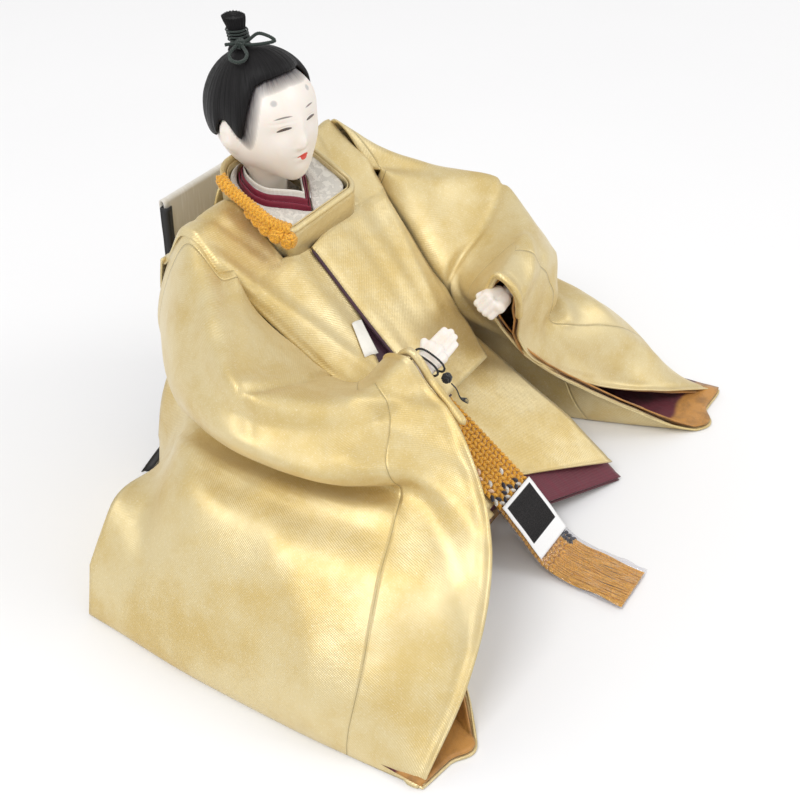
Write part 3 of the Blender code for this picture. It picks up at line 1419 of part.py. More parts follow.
def hand_cord(frame):
    """The black cord wound round the right hand, its knot and its tail."""
    path = []
    for step in range(ROUND_SIDES * HAND_CORD_TURNS + 1):
        turn = 2.0 * math.pi * (step / ROUND_SIDES - 0.25)
        cosine, sine = math.cos(turn), math.sin(turn)
        reach = (abs(cosine) ** HAND_CORD_POWER + abs(sine) ** HAND_CORD_POWER) ** (-1.0 / HAND_CORD_POWER)
        along = HAND_CORD_START_share + HAND_CORD_PITCH * step / ROUND_SIDES / HAND_LENGTH
        across = interpolate(HAND_CORD_WIDTH_shares, along) * cosine * reach
        local = Vector((along, across, HAND_CORD_DEPTH_share * sine * reach))
        path.append(frame @ (local * HAND_LENGTH))
    rod("hand_cord", path, HAND_CORD_RADIUS, "black_cord", resolution=1)
    gap = least_self_gap(path, HAND_CORD_RADIUS, ROUND_SIDES // 2)
    print(f"hand_cord: least gap to itself {gap * 1000:.2f} mm")
    centre = frame @ (Vector(HAND_KNOT_shares) * HAND_LENGTH)
    ball("hand_cord_knot", centre, [HAND_KNOT_RADIUS] * 3, "black_cord")
    tail = catmull([frame @ (Vector(shares) * HAND_LENGTH) for shares in HAND_TAIL_shares], 4)
    rod("hand_cord_tail", tail, HAND_CORD_RADIUS, "black_cord", resolution=1)


def main():
    for obj in list(bpy.data.objects):
        bpy.data.objects.remove(obj)
    base_board()
    straw_body()
    neck_tube()
    head_rod()
    head()
    hair_cap()
    topknot()
    topknot_cord()
    bow()
    neck_collars()
    brocade_collar()
    collar_lining()
    robe_collar()
    collar_padding()
    collar_cord()
    robe_fronts()
    front_edge_strip()
    dark_facing()
    tucked_paper()
    chest_padding()
    lap_paddings()
    robe_back()
    back_pouch()
    train()
    skirts()
    sash_and_film()
    sleeves()
    cuffs()
    arms()
    hands()


main()
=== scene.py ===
"""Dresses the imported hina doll: brocade robes, silk collars, lacquer, hair, cords and sash.

Units are metres, +Z is up, +X is the doll's left and -Y is its front. Places on the robe are in
tenths of a metre, as in the part's own source.
"""

from math import acos, atan2, copysign, cos, degrees, exp, floor, pi, radians, sin, sqrt

import bmesh
import bpy
from bpy.props import FloatProperty, FloatVectorProperty, IntProperty, PointerProperty
from mathutils import Matrix, Vector
from mathutils.noise import noise


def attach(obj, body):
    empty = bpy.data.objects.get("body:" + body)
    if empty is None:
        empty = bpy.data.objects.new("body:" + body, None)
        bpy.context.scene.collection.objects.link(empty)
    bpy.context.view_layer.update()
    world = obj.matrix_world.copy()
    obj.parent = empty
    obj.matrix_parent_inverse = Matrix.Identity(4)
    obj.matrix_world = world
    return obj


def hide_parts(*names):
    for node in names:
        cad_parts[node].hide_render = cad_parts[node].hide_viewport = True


bl_info = {
    "name": "Seated hina doll",
    "version": (1, 0, 0),
    "blender": (4, 5, 0),
    "location": "View3D > Sidebar > Hina Doll",
    "description": "Makes the cloth, hair, lacquer and cords of a seated hina doll",
    "category": "Add Mesh",
}

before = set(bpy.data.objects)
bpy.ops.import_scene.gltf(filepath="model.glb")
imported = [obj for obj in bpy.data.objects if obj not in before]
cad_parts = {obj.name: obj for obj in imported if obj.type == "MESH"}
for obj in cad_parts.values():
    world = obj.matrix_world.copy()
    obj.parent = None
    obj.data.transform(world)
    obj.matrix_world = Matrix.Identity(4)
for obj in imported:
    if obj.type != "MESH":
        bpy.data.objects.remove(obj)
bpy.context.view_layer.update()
MM = 0.001
ROBE_UNIT = 0.1


def linear(red, green, blue):
    """A linear colour from sRGB shares."""
    return tuple(
        share / 12.92 if share < 0.04045 else ((share + 0.055) / 1.055) ** 2.4
        for share in (red, green, blue)
    )


def colour_setting(name, description, shares):
    return FloatVectorProperty(
        name=name, description=description, subtype="COLOR", size=3, min=0.0, max=1.0, default=linear(*shares)
    )


def length_setting(name, description, metres):
    return FloatProperty(
        name=name, description=description, unit="LENGTH", subtype="DISTANCE", min=0.0, default=metres,
        precision=5
    )


def share_setting(name, description, share):
    return FloatProperty(
        name=name, description=description, subtype="FACTOR", min=0.0, max=1.0, default=share
    )


class RobeSettings(bpy.types.PropertyGroup):
    """Colours and thread sizes of the robes."""

    pale_gold: colour_setting("Pale gold", "Gold brocade where it lies flat", (0.89, 0.82, 0.63))
    deep_gold: colour_setting("Deep gold", "Warmer gold in the brocade's clouds", (0.84, 0.74, 0.49))
    maroon: colour_setting("Maroon", "Silk of the inner collars and under-robe", (0.50, 0.10, 0.20))
    purple: colour_setting("Purple", "Silk of the facing and linings", (0.25, 0.12, 0.19))
    wine: colour_setting("Wine", "Silk of the under-robe on the lap", (0.40, 0.11, 0.18))
    amber: colour_setting("Amber", "Facing just inside each sleeve's mouth", (0.78, 0.55, 0.25))
    cream: colour_setting("Cream", "White silk and the train's face", (0.91, 0.89, 0.85))
    black: colour_setting("Black", "Train's lining", (0.10, 0.10, 0.11))
    brocade_thickness: length_setting("Brocade thickness", "Thickness of the gold cloth", 0.0010)
    silk_thickness: length_setting("Silk thickness", "Thickness of the silks", 0.0007)
    twill_pitch: length_setting("Twill pitch", "Distance between the gold cloth's twill lines", 0.00085)
    gold_roughness: share_setting("Gold roughness", "How broad the gold's sheen is", 0.40)
    gold_metal: share_setting("Gold metal", "Share of metal thread in the gold", 0.62)


class HeadSettings(bpy.types.PropertyGroup):
    """Colours of the head, hair and hands."""

    shell_white: colour_setting("Shell white", "Lacquer of the head and hands", (0.93, 0.90, 0.87))
    # warm_shade is painted shade low on the face and neck; on the hands it only tints random clouds.
    warm_shade: colour_setting("Warm shade", "Lacquer low on the jaw, ears and neck", (0.90, 0.85, 0.78))
    hair: colour_setting("Hair", "Silk hair", (0.060, 0.055, 0.060))
    lips: colour_setting("Lips", "Painted lips", (0.84, 0.20, 0.14))
    eye_line: colour_setting("Eye line", "Painted eyes and brows", (0.24, 0.17, 0.15))
    voxel: length_setting("Hand detail", "Size of the voxels that blend the hands", 0.00038)


class TrimSettings(bpy.types.PropertyGroup):
    """Colours and sizes of the cords, sash and film."""

    orange: colour_setting("Orange", "Plaited silk of the sash and collar cord", (0.92, 0.66, 0.16))
    fringe: colour_setting("Fringe", "Loose silk at the sash's end", (0.95, 0.68, 0.22))
    navy: colour_setting("Navy", "Dark stitches in the sash", (0.13, 0.12, 0.19))
    rose: colour_setting("Rose white", "Pale stitches along the sash", (0.92, 0.76, 0.62))
    green: colour_setting("Green", "Cord round the topknot", (0.09, 0.16, 0.13))
    black: colour_setting("Black cord", "Cord round the right hand", (0.05, 0.05, 0.06))
    plait_columns: IntProperty(
        name="Plait columns", description="Columns of stitches across the sash", default=10, min=4
    )
    plait_step: length_setting("Plait step", "Distance between the rows of stitches", 0.0026)
    film_alpha: share_setting("Film glint", "Least share of light that the clear film reflects", 0.03)


class StageSettings(bpy.types.PropertyGroup):
    """Floor and light."""

    floor: colour_setting("Floor", "Pale floor and background", (0.945, 0.945, 0.95))
    sky: FloatProperty(name="Sky", description="Strength of the even light", default=0.82, min=0.0)
    key: FloatProperty(
        name="Key lamp", description="Power of the large soft lamp", unit="POWER", default=19.0, min=0.0
    )
    fill: FloatProperty(
        name="Fill lamp", description="Power of the second lamp", unit="POWER", default=7.0, min=0.0
    )


def robe_settings():
    return bpy.context.scene.doll_robe


def head_settings():
    return bpy.context.scene.doll_head


def trim_settings():
    return bpy.context.scene.doll_trim


# Curves and tables


def interpolate(table, value):
    """Straight-line value of a table of pairs, held level past its ends."""
    if value <= table[0][0]:
        return table[0][1]
    for (low, at_low), (high, at_high) in zip(table, table[1:]):
        if value <= high:
            return at_low + (at_high - at_low) * (value - low) / (high - low)
    return table[-1][1]


def smooth_step(low, high, value):
    part = min(max((value - low) / (high - low), 0.0), 1.0)
    return part * part * (3.0 - 2.0 * part)


def hump(value, centre, width):
    """A smooth hump of height one."""
    return exp(-(((value - centre) / width) ** 2))


def spline_at(points, place, loop=False):
    """A point on the smooth curve through points; place counts them from 0."""
    count = len(points)
    index = floor(place) if loop else min(max(floor(place), 0), count - 2)
    t = place - index
    if loop:
        before, start, end, after = (points[(index + shift) % count] for shift in (-1, 0, 1, 2))
    else:
        start, end = points[index], points[index + 1]
        before = points[index - 1] if index else start * 2.0 - end
        after = points[index + 2] if index + 2 < count else end * 2.0 - start
    return 0.5 * (
        2.0 * start
        + (end - before) * t
        + (2.0 * before - 5.0 * start + 4.0 * end - after) * t**2
        + (3.0 * start - before - 3.0 * end + after) * t**3
    )


def segment_distance(start, end, here):
    a, b, p = Vector(start), Vector(end), Vector(here)
    part = min(max((p - a).dot(b - a) / (b - a).length_squared, 0.0), 1.0)
    return (p - a - (b - a) * part).length


def smooth_path(points, steps):
    """A dense smooth path through points."""
    total = (len(points) - 1) * steps
    return [spline_at(points, step / steps) for step in range(total + 1)]


def even(low, high, count):
    return [low + (high - low) * step / count for step in range(count + 1)]


def frames_along(path):
    """Tangent and two unit vectors across each point of a path, carried along without twist."""
    frames, side = [], None
    for index in range(len(path)):
        tangent = (path[min(index + 1, len(path) - 1)] - path[max(index - 1, 0)]).normalized()
        side = tangent.orthogonal().normalized() if side is None else (
            side - tangent * side.dot(tangent)
        ).normalized()
        frames.append((tangent, side, tangent.cross(side)))
    return frames


# Materials


class Finish:
    """Adds and joins the nodes of one material."""

    def __init__(self, name):
        self.material = bpy.data.materials.new(name)
        self.material.use_nodes = True
        self.tree = self.material.node_tree
        self.shader = self.tree.nodes["Principled BSDF"]

    def add(self, kind, inputs, **settings):
        made = self.tree.nodes.new(kind)
        for key, value in settings.items():
            setattr(made, key, value)
        for key, value in inputs.items():
            self.join(value, made.inputs[key])
        return made

    def join(self, value, socket):
        if isinstance(value, bpy.types.NodeSocket):
            self.tree.links.new(value, socket)
        else:
            socket.default_value = value

    def place(self, coordinates, scale=(1.0, 1.0, 1.0), rotation=(0.0, 0.0, 0.0)):
        """Coordinates of the piece: Object, or the name of its own UV map."""
        if coordinates == "Object":
            source = self.add("ShaderNodeTexCoord", {}).outputs["Object"]
        else:
            source = self.add("ShaderNodeUVMap", {}, uv_map=coordinates).outputs[0]
        return self.add(
            "ShaderNodeMapping", {"Vector": source, "Scale": scale, "Rotation": rotation}
        ).outputs[0]

    def noise(self, place, scale, detail=3.0, rough=0.5):
        inputs = {"Vector": place, "Scale": scale, "Detail": detail, "Roughness": rough}
        return self.add("ShaderNodeTexNoise", inputs).outputs["Fac"]

    def wave(self, place, pitch, distortion=0.0, direction="X", detail_scale=1.0):
        """Even ribs, one to each pitch."""
        inputs = {
            "Vector": place, "Scale": pi / 10.0 / pitch, "Distortion": distortion,
            "Detail Scale": detail_scale,
        }
        return self.add("ShaderNodeTexWave", inputs, bands_direction=direction).outputs["Fac"]

    def span(self, value, low, high, to_low=0.0, to_high=1.0):
        inputs = {"Value": value, "From Min": low, "From Max": high, "To Min": to_low, "To Max": to_high}
        return self.add("ShaderNodeMapRange", inputs, interpolation_type="SMOOTHSTEP").outputs[0]

    def maths(self, operation, first, second=0.0):
        made = self.add("ShaderNodeMath", {0: first, 1: second}, operation=operation)
        return made.outputs[0]

    def times(self, first, second):
        return self.maths("MULTIPLY", first, second)

    def mix(self, factor, first, second, blend="MIX"):
        made = self.add("ShaderNodeMix", {}, data_type="RGBA", blend_type=blend)
        self.join(factor, made.inputs[0])
        self.join(rgba(first), made.inputs[6])
        self.join(rgba(second), made.inputs[7])
        return made.outputs[2]

    def attribute(self, name, output="Fac"):
        return self.add("ShaderNodeAttribute", {}, attribute_name=name).outputs[output]

    def bump(self, height, distance, strength=1.0, normal=None):
        inputs = {"Height": height, "Distance": distance, "Strength": strength}
        if normal is not None:
            inputs["Normal"] = normal
        return self.add("ShaderNodeBump", inputs).outputs[0]

    def surface(self, colour, roughness, normal=None, **settings):
        self.join(rgba(colour), self.shader.inputs["Base Color"])
        self.join(roughness, self.shader.inputs["Roughness"])
        if normal is not None:
            self.join(normal, self.shader.inputs["Normal"])
        for key, value in settings.items():
            self.join(value, self.shader.inputs[key.replace("_", " ")])
        return self.material


def rgba(colour):
    """A colour as four numbers; a socket is left as it is."""
    return colour if isinstance(colour, bpy.types.NodeSocket) or len(colour) == 4 else (*colour, 1.0)


def shade(colour, share):
    return tuple(part * share for part in colour)


made_finishes = {}


def finish_once(name, make, *values):
    """One material for all pieces of the same cloth."""
    if name not in made_finishes:
        made_finishes[name] = make(name, *values)
    return made_finishes[name]


TWILL_SLANT = radians(38)
SEAM_WIDTH = 0.00035


def gold_brocade(name, coordinates="cloth", seamed=False):
    """Metal-thread twill: fine slanted ribs, pale clouds, creases, a broad sheen and painted glints in pale flecks.
    """
    robe = robe_settings()
    f = Finish(name)
    body = f.place("Object")
    thread = f.place(coordinates, rotation=(0.0, 0.0, TWILL_SLANT))
    ribs = f.wave(thread, robe.twill_pitch, 0.6)
    across = f.wave(thread, robe.twill_pitch * 0.72, 0.5, "Y")
    clouds = f.noise(body, 30.0, 5.0, 0.65)
    glint_flecks = f.noise(body, 1500.0, 2.0, 0.6)
    colour = f.mix(f.span(clouds, 0.36, 0.68), robe.pale_gold, robe.deep_gold)
    weave = f.times(ribs, across)
    colour = f.mix(f.span(weave, 0.0, 0.55, 0.16, 0.0), colour, shade(robe.deep_gold, 0.55))
    # Painted glints: tiny flecks lighten the gold towards near-white, as if they catch the light.
    colour = f.mix(f.span(glint_flecks, 0.52, 0.80, 0.0, 0.30), colour, (1.0, 0.96, 0.82))
    if seamed:
        away = f.maths("ABSOLUTE", f.attribute("seam"))
        colour = f.mix(f.span(away, SEAM_WIDTH, 0.0, 0.0, 0.65), colour, shade(robe.deep_gold, 0.30))
    roughness = f.maths("ADD", f.span(clouds, 0.30, 0.70, -0.06, 0.08), robe.gold_roughness)
    normal = f.bump(weave, 0.00014, 0.5)
    normal = f.bump(f.noise(body, 260.0, 3.0, 0.6), 0.0004, 0.30, normal)
    normal = f.bump(f.noise(body, 60.0, 3.0, 0.55), 0.0014, 0.34, normal)
    if seamed:
        normal = f.bump(f.span(away, 0.0, 3.0 * SEAM_WIDTH), 0.0006, 0.6, normal)
    return f.surface(
        colour, roughness, normal, Metallic=robe.gold_metal, Sheen_Weight=0.10, Sheen_Roughness=0.5
    )


def silk(name, colour, coordinates="cloth", pitch=0.0006, sheen=0.25, roughness=0.55):
    """Plain silk with a fine thread, soft streaks and sheen."""
    f = Finish(name)
    thread = f.place(coordinates)
    ribs = f.times(f.wave(thread, pitch, 1.2), f.wave(thread, pitch * 1.3, 1.0, "Y"))
    streaks = f.noise(f.place(coordinates, scale=(1.0, 0.08, 1.0)), 900.0, 3.0)
    base = f.mix(f.span(ribs, 0.0, 0.5, 0.34, 0.0), tuple(colour), shade(colour, 0.45))
    base = f.mix(
        f.span(streaks, 0.45, 0.75, 0.0, 0.35), base, tuple(min(1.0, c * 1.5 + 0.01) for c in colour)
    )
    rough = f.span(streaks, 0.3, 0.7, roughness - 0.08, roughness + 0.08)
    return f.surface(base, rough, f.bump(ribs, 0.0001, 0.6), Sheen_Weight=sheen, Sheen_Roughness=0.4)


def figured_silk(name):
    """White figured silk: raised flower sprays on a matt ground."""
    cream = tuple(robe_settings().cream)
    f = Finish(name)
    thread = f.place("cloth")
    spray = f.noise(f.place("cloth", scale=(1.0, 1.6, 1.0)), 330.0, 2.5, 0.55)
    ribs = f.wave(thread, 0.0005, 0.8)
    raised = f.span(spray, 0.47, 0.56)
    colour = f.mix(raised, shade(cream, 0.80), tuple(cream))
    colour = f.mix(f.span(ribs, 0.0, 0.6, 0.25, 0.0), colour, shade(cream, 0.62))
    height = f.maths("ADD", raised, f.times(ribs, 0.25))
    return f.surface(
        colour, f.span(raised, 0.0, 1.0, 0.62, 0.40), f.bump(height, 0.00028, 0.8), Sheen_Weight=0.3
    )


def sleeve_lining_silk(name):
    """Amber facing near the sleeve's mouth, maroon silk deeper in, darkened with painted shade."""
    robe = robe_settings()
    f = Finish(name)
    ribs = f.wave(f.place("cloth"), 0.0007, 1.0)
    deep = f.span(f.attribute("from_edge"), 0.0125, 0.0150)
    crumple = f.noise(f.place("Object"), 120.0, 4.0, 0.6)
    amber = f.mix(f.span(crumple, 0.4, 0.7), robe.amber, shade(robe.amber, 0.62))
    # Painted shade: deeper in the sleeve the maroon silk is darkened to between 0.55 and 0.30 of its own colour.
    maroon = f.mix(f.span(crumple, 0.4, 0.7), shade(robe.maroon, 0.55), shade(robe.maroon, 0.30))
    colour = f.mix(f.span(ribs, 0.0, 0.6, 0.25, 0.0), f.mix(deep, amber, maroon), (0.05, 0.02, 0.01))
    normal = f.bump(crumple, 0.0012, 0.6, f.bump(ribs, 0.0001, 0.5))
    return f.surface(colour, f.span(deep, 0.0, 1.0, 0.42, 0.6), normal, Sheen_Weight=0.2)


def spun_cord(name, colour, pitch=0.0011, roughness=0.55, sheen=0.3):
    """Silk cord strands: fine fibres along and across, lighter where they catch the light."""
    f = Finish(name)
    body = f.place("Object")
    fibres = f.noise(body, 1900.0, 3.0, 0.7)
    patches = f.noise(body, 260.0, 2.0)
    base = f.mix(f.span(fibres, 0.35, 0.65), shade(colour, 0.55), tuple(min(1.0, c * 1.25) for c in colour))
    base = f.mix(f.span(patches, 0.40, 0.70, 0.0, 0.30), base, shade(colour, 0.62))
    return f.surface(
        base, f.span(patches, 0.3, 0.7, roughness - 0.08, roughness + 0.10),
        f.bump(fibres, pitch * 0.18, 0.7), Sheen_Weight=sheen,
    )


def shell_lacquer(name):
    """Plain shell-white lacquer of the hands, with a faint grain and warmer clouds."""
    head = head_settings()
    f = Finish(name)
    body = f.place("Object")
    cloud = f.noise(body, 140.0, 3.0)
    grain = f.noise(body, 2600.0, 2.0)
    colour = f.mix(f.span(cloud, 0.35, 0.7, 0.0, 0.7), head.shell_white, head.warm_shade)
    rough = f.span(cloud, 0.3, 0.7, 0.30, 0.42)
    return f.surface(
        colour, rough, f.bump(grain, 0.00006, 0.25), Subsurface_Weight=0.08, Subsurface_Scale=0.002,
        Coat_Weight=0.15,
    )


FACE_MARKS = (
    # colour, angle round, angle down, half width, half height, tilt in degrees, bend, softness
    ("brow", -20.5, 72.2, 13.0, 1.1, -1.0, 0.008, 0.75),
    ("brow", 19.0, 69.8, 9.5, 1.1, 1.0, 0.008, 0.75),
    ("spot", -29.0, 57.0, 5.4, 4.0, 0.0, 0.0, 0.85),
    ("spot", 31.0, 55.0, 5.4, 4.0, 0.0, 0.0, 0.85),
    ("eye", -20.5, 85.0, 9.4, 1.9, -6.5, 0.010, 0.25),
    ("eye", 17.5, 82.4, 9.4, 1.9, 3.0, 0.010, 0.25),
    ("lid", -20.5, 81.2, 9.0, 0.6, -5.0, 0.014, 0.8),
    ("lid", 17.5, 78.8, 9.0, 0.6, 3.0, 0.014, 0.8),
    ("lips", 2.5, 118.6, 8.8, 1.9, 2.0, 0.022, 0.22),
    ("lips", 3.5, 121.4, 5.4, 2.4, 2.0, -0.020, 0.25),
)


def painted_mark(f, place, theta, phi, wide, tall, tilt, bend, softness):
    """A mask that is one inside a bent ellipse drawn on the face's angles."""
    inputs = {"Vector": place, "Location": (theta, phi, 0.0), "Rotation": (0.0, 0.0, tilt)}
    own = f.add("ShaderNodeMapping", inputs, vector_type="TEXTURE").outputs[0]
    axes = f.add("ShaderNodeSeparateXYZ", {0: own}).outputs
    lifted = f.maths("SUBTRACT", axes[1], f.times(f.times(axes[0], axes[0]), bend))
    across = f.maths("POWER", f.maths("DIVIDE", axes[0], wide), 2.0)
    up = f.maths("POWER", f.maths("ABSOLUTE", f.maths("DIVIDE", lifted, tall)), 2.0)
    return f.span(f.maths("ADD", f.maths("ABSOLUTE", across), up), 1.0, 1.0 - softness)


def face_lacquer(name):
    """The painted face: shell white with painted shade low on the jaw and neck, grey feathered hairline, brows,
    eyes and lips.
    """
    head = head_settings()
    f = Finish(name)
    angles = f.place("face")
    body = f.place("Object")
    cloud = f.noise(body, 90.0, 3.0)
    # Painted shade: the lacquer turns darker and warmer towards the bottom of the head, on the jaw and neck.
    low = f.span(f.add("ShaderNodeSeparateXYZ", {0: body}).outputs[2], 0.176, 0.150)
    colour = f.mix(f.times(low, 0.75), head.shell_white, head.warm_shade)
    colour = f.mix(f.span(cloud, 0.4, 0.7, 0.0, 0.25), colour, head.warm_shade)
    lips = head.lips
    inks = {
        "brow": (0.16, 0.13, 0.12), "spot": (0.34, 0.34, 0.35), "eye": head.eye_line,
        "lid": (0.50, 0.43, 0.38), "lips": lips,
    }
    strengths = {"brow": 0.88, "spot": 0.62, "eye": 0.93, "lid": 0.40, "lips": 0.95}
    for kind, theta, phi, wide, tall, tilt, bend, softness in FACE_MARKS:
        mask = painted_mark(f, angles, theta, phi, wide, tall, radians(tilt), bend, softness)
        colour = f.mix(f.times(mask, strengths[kind]), colour, inks[kind])
    feather = f.noise(f.place("face", scale=(1.0, 0.12, 1.0)), 0.55, 3.0)
    near = f.maths("POWER", f.attribute("hair_near"), 0.50)
    near = f.times(near, f.span(feather, 0.3, 0.7, 0.86, 1.0))
    colour = f.mix(near, colour, (0.030, 0.024, 0.032))
    rough = f.span(cloud, 0.3, 0.7, 0.34, 0.44)
    return f.surface(
        colour, rough, f.bump(f.noise(body, 2200.0), 0.00004, 0.2), Subsurface_Weight=0.10,
        Subsurface_Scale=0.003, Coat_Weight=0.10,
    )


def silk_hair(name, coordinates="combed"):
    """Black silk hair with fine combed strands."""
    dark = tuple(head_settings().hair)
    f = Finish(name)
    strands = f.noise(f.place(coordinates, scale=(1.0, 0.035, 1.0)), 260.0, 4.0, 0.65)
    locks = f.noise(f.place(coordinates, scale=(1.0, 0.05, 1.0)), 40.0, 2.0)
    colour = f.mix(f.span(strands, 0.35, 0.7), shade(dark, 0.5), shade(dark, 2.2))
    rough = f.span(locks, 0.3, 0.7, 0.40, 0.56)
    return f.surface(colour, rough, f.bump(strands, 0.00035, 0.75), Specular_IOR_Level=0.20)


def board_wood(name, colour=(0.70, 0.55, 0.38), ring=0.010, stretch=(1.0, 0.06, 1.0)):
    """Bare wood: rings stretched along the grain, pores and a planed surface."""
    f = Finish(name)
    grain = f.place("Object", scale=stretch)
    rings = f.wave(grain, ring, 6.0, "X", 2.0)
    pores = f.noise(grain, 1400.0, 3.0, 0.7)
    base = linear(*colour)
    mixed = f.mix(rings, shade(base, 0.68), base)
    mixed = f.mix(f.span(pores, 0.55, 0.75, 0.0, 0.5), mixed, shade(base, 0.40))
    height = f.maths("ADD", rings, f.times(pores, 0.6))
    return f.surface(mixed, f.span(rings, 0.0, 1.0, 0.55, 0.70), f.bump(height, 0.0002, 0.4))


def straw_bundle(name):
    """Bound straw: long pale stalks with painted shade in the darker gaps between them, and knots."""
    f = Finish(name)
    stalks = f.noise(f.place("Object", scale=(1.0, 1.0, 0.05)), 420.0, 3.0, 0.6)
    knots = f.noise(f.place("Object"), 60.0, 3.0)
    base = linear(0.80, 0.68, 0.42)
    # Painted shade: the gaps between the stalks are darkened to 0.35 of the straw's colour.
    colour = f.mix(f.span(stalks, 0.35, 0.65), shade(base, 0.35), base)
    colour = f.mix(f.span(knots, 0.5, 0.75, 0.0, 0.4), colour, linear(0.62, 0.52, 0.30))
    return f.surface(colour, f.span(stalks, 0.3, 0.7, 0.85, 0.62), f.bump(stalks, 0.0008, 0.8))


def cotton_wool(name):
    f = Finish(name)
    body = f.place("Object")
    fluff = f.noise(body, 420.0, 5.0, 0.7)
    lumps = f.noise(body, 90.0, 3.0)
    colour = f.mix(f.span(lumps, 0.35, 0.7), linear(0.93, 0.91, 0.86), linear(0.84, 0.80, 0.72))
    return f.surface(
        colour, f.span(fluff, 0.3, 0.7, 0.88, 0.98), f.bump(fluff, 0.0012, 0.8), Sheen_Weight=0.5
    )


def drawn_wire(name):
    f = Finish(name)
    scratches = f.noise(f.place("Object", scale=(0.15, 1.0, 1.0)), 2400.0, 3.0, 0.7)
    tarnish = f.noise(f.place("Object"), 160.0, 3.0)
    colour = f.mix(f.span(tarnish, 0.4, 0.7), (0.46, 0.46, 0.47), (0.26, 0.24, 0.22))
    return f.surface(
        colour, f.span(scratches, 0.3, 0.7, 0.28, 0.48), f.bump(scratches, 0.00008, 0.5), Metallic=1.0
    )


def pressed_paper(name, tint=(0.94, 0.93, 0.90)):
    f = Finish(name)
    body = f.place("Object")
    fibre = f.noise(body, 900.0, 4.0, 0.65)
    cloud = f.noise(body, 110.0, 3.0)
    base = linear(*tint)
    colour = f.mix(f.span(cloud, 0.4, 0.7), base, shade(base, 0.88))
    colour = f.mix(f.span(fibre, 0.62, 0.72, 0.0, 0.3), colour, shade(base, 0.7))
    return f.surface(colour, f.span(fibre, 0.3, 0.7, 0.72, 0.86), f.bump(fibre, 0.00012, 0.5))


def clear_film(name):
    """Crinkled clear film: see-through, with glints on its creases."""
    f = Finish(name)
    body = f.place("Object")
    crinkle = f.noise(body, 120.0, 4.0, 0.6)
    scuffs = f.noise(body, 1500.0, 3.0)
    normal = f.bump(crinkle, 0.0022, 0.9)
    rough = f.span(scuffs, 0.3, 0.7, 0.04, 0.14)
    clear = f.add("ShaderNodeBsdfTransparent", {"Color": (0.97, 0.97, 0.98, 1.0)})
    glint = f.add(
        "ShaderNodeBsdfGlossy", {"Color": (0.95, 0.96, 0.97, 1.0), "Roughness": rough, "Normal": normal}
    )
    edge = f.add("ShaderNodeLayerWeight", {"Blend": 0.30, "Normal": normal}).outputs["Facing"]
    amount = f.span(edge, 0.10, 1.0, trim_settings().film_alpha, 0.55)
    mixed = f.add("ShaderNodeMixShader", {0: amount, 1: clear.outputs[0], 2: glint.outputs[0]})
    f.join(mixed.outputs[0], f.tree.nodes["Material Output"].inputs[0])
    f.tree.nodes.remove(f.shader)
    return f.material


def sticker(name):
    """The bare label: a white sheet with one plain dark square on it."""
    f = Finish(name)
    place = f.place("print")
    axes = f.add("ShaderNodeSeparateXYZ", {0: place}).outputs
    inside = None
    for axis, low, high in ((0, 0.085, 0.915), (1, 0.26, 0.94)):
        for edge, sign in ((low, 1.0), (high, -1.0)):
            part = f.span(axes[axis], edge - 0.006 * sign, edge + 0.006 * sign)
            inside = part if inside is None else f.times(inside, part)
    speck = f.noise(f.place("Object"), 1300.0, 3.0)
    white = f.mix(f.span(speck, 0.5, 0.8, 0.0, 0.12), linear(0.95, 0.95, 0.95), linear(0.78, 0.78, 0.78))
    dark = f.mix(f.span(speck, 0.4, 0.8), linear(0.06, 0.05, 0.05), linear(0.12, 0.10, 0.10))
    return f.surface(
        f.mix(inside, white, dark), f.span(speck, 0.3, 0.7, 0.24, 0.34), f.bump(speck, 0.00003, 0.3),
        Specular_IOR_Level=0.25,
    )


# Making pieces


def linked(name, data):
    """A new object in the scene."""
    obj = bpy.data.objects.new(name, data)
    bpy.context.scene.collection.objects.link(obj)
    return obj


def link_piece(name, work, material):
    """Turns a bmesh into a finished piece at the origin."""
    mesh = bpy.data.meshes.new(name)
    work.to_mesh(mesh)
    work.free()
    mesh.materials.append(material)
    mesh.shade_smooth()
    return linked(name, mesh)


def dress(obj, body, slot, *nodes):
    """The piece rides on a body and stands for CAD nodes; its slot is not used."""
    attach(obj, body)
    if nodes:
        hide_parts(*nodes)
    return obj


def grid_steps(points):
    """Mean distance between the rows and between the columns of a grid of points, summed up."""
    across, along = [0.0], [0.0]
    for column in range(1, len(points[0])):
        total = sum((row[column] - row[column - 1]).length for row in points)
        across.append(across[-1] + total / len(points))
    for index in range(1, len(points)):
        total = sum((a - b).length for a, b in zip(points[index], points[index - 1]))
        along.append(along[-1] + total / len(points[0]))
    return across, along


def grid_normals(points, loop):
    """Unit normals of a grid of points."""
    rows, columns = len(points), len(points[0])
    normals = []
    for r in range(rows):
        line = []
        for c in range(columns):
            if loop and c in (0, columns - 1):
                east, west = points[r][1], points[r][columns - 2]
            else:
                east, west = points[r][min(c + 1, columns - 1)], points[r][max(c - 1, 0)]
            north, south = points[min(r + 1, rows - 1)][c], points[max(r - 1, 0)][c]
            line.append((east - west).cross(north - south).normalized())
        normals.append(line)
    return normals


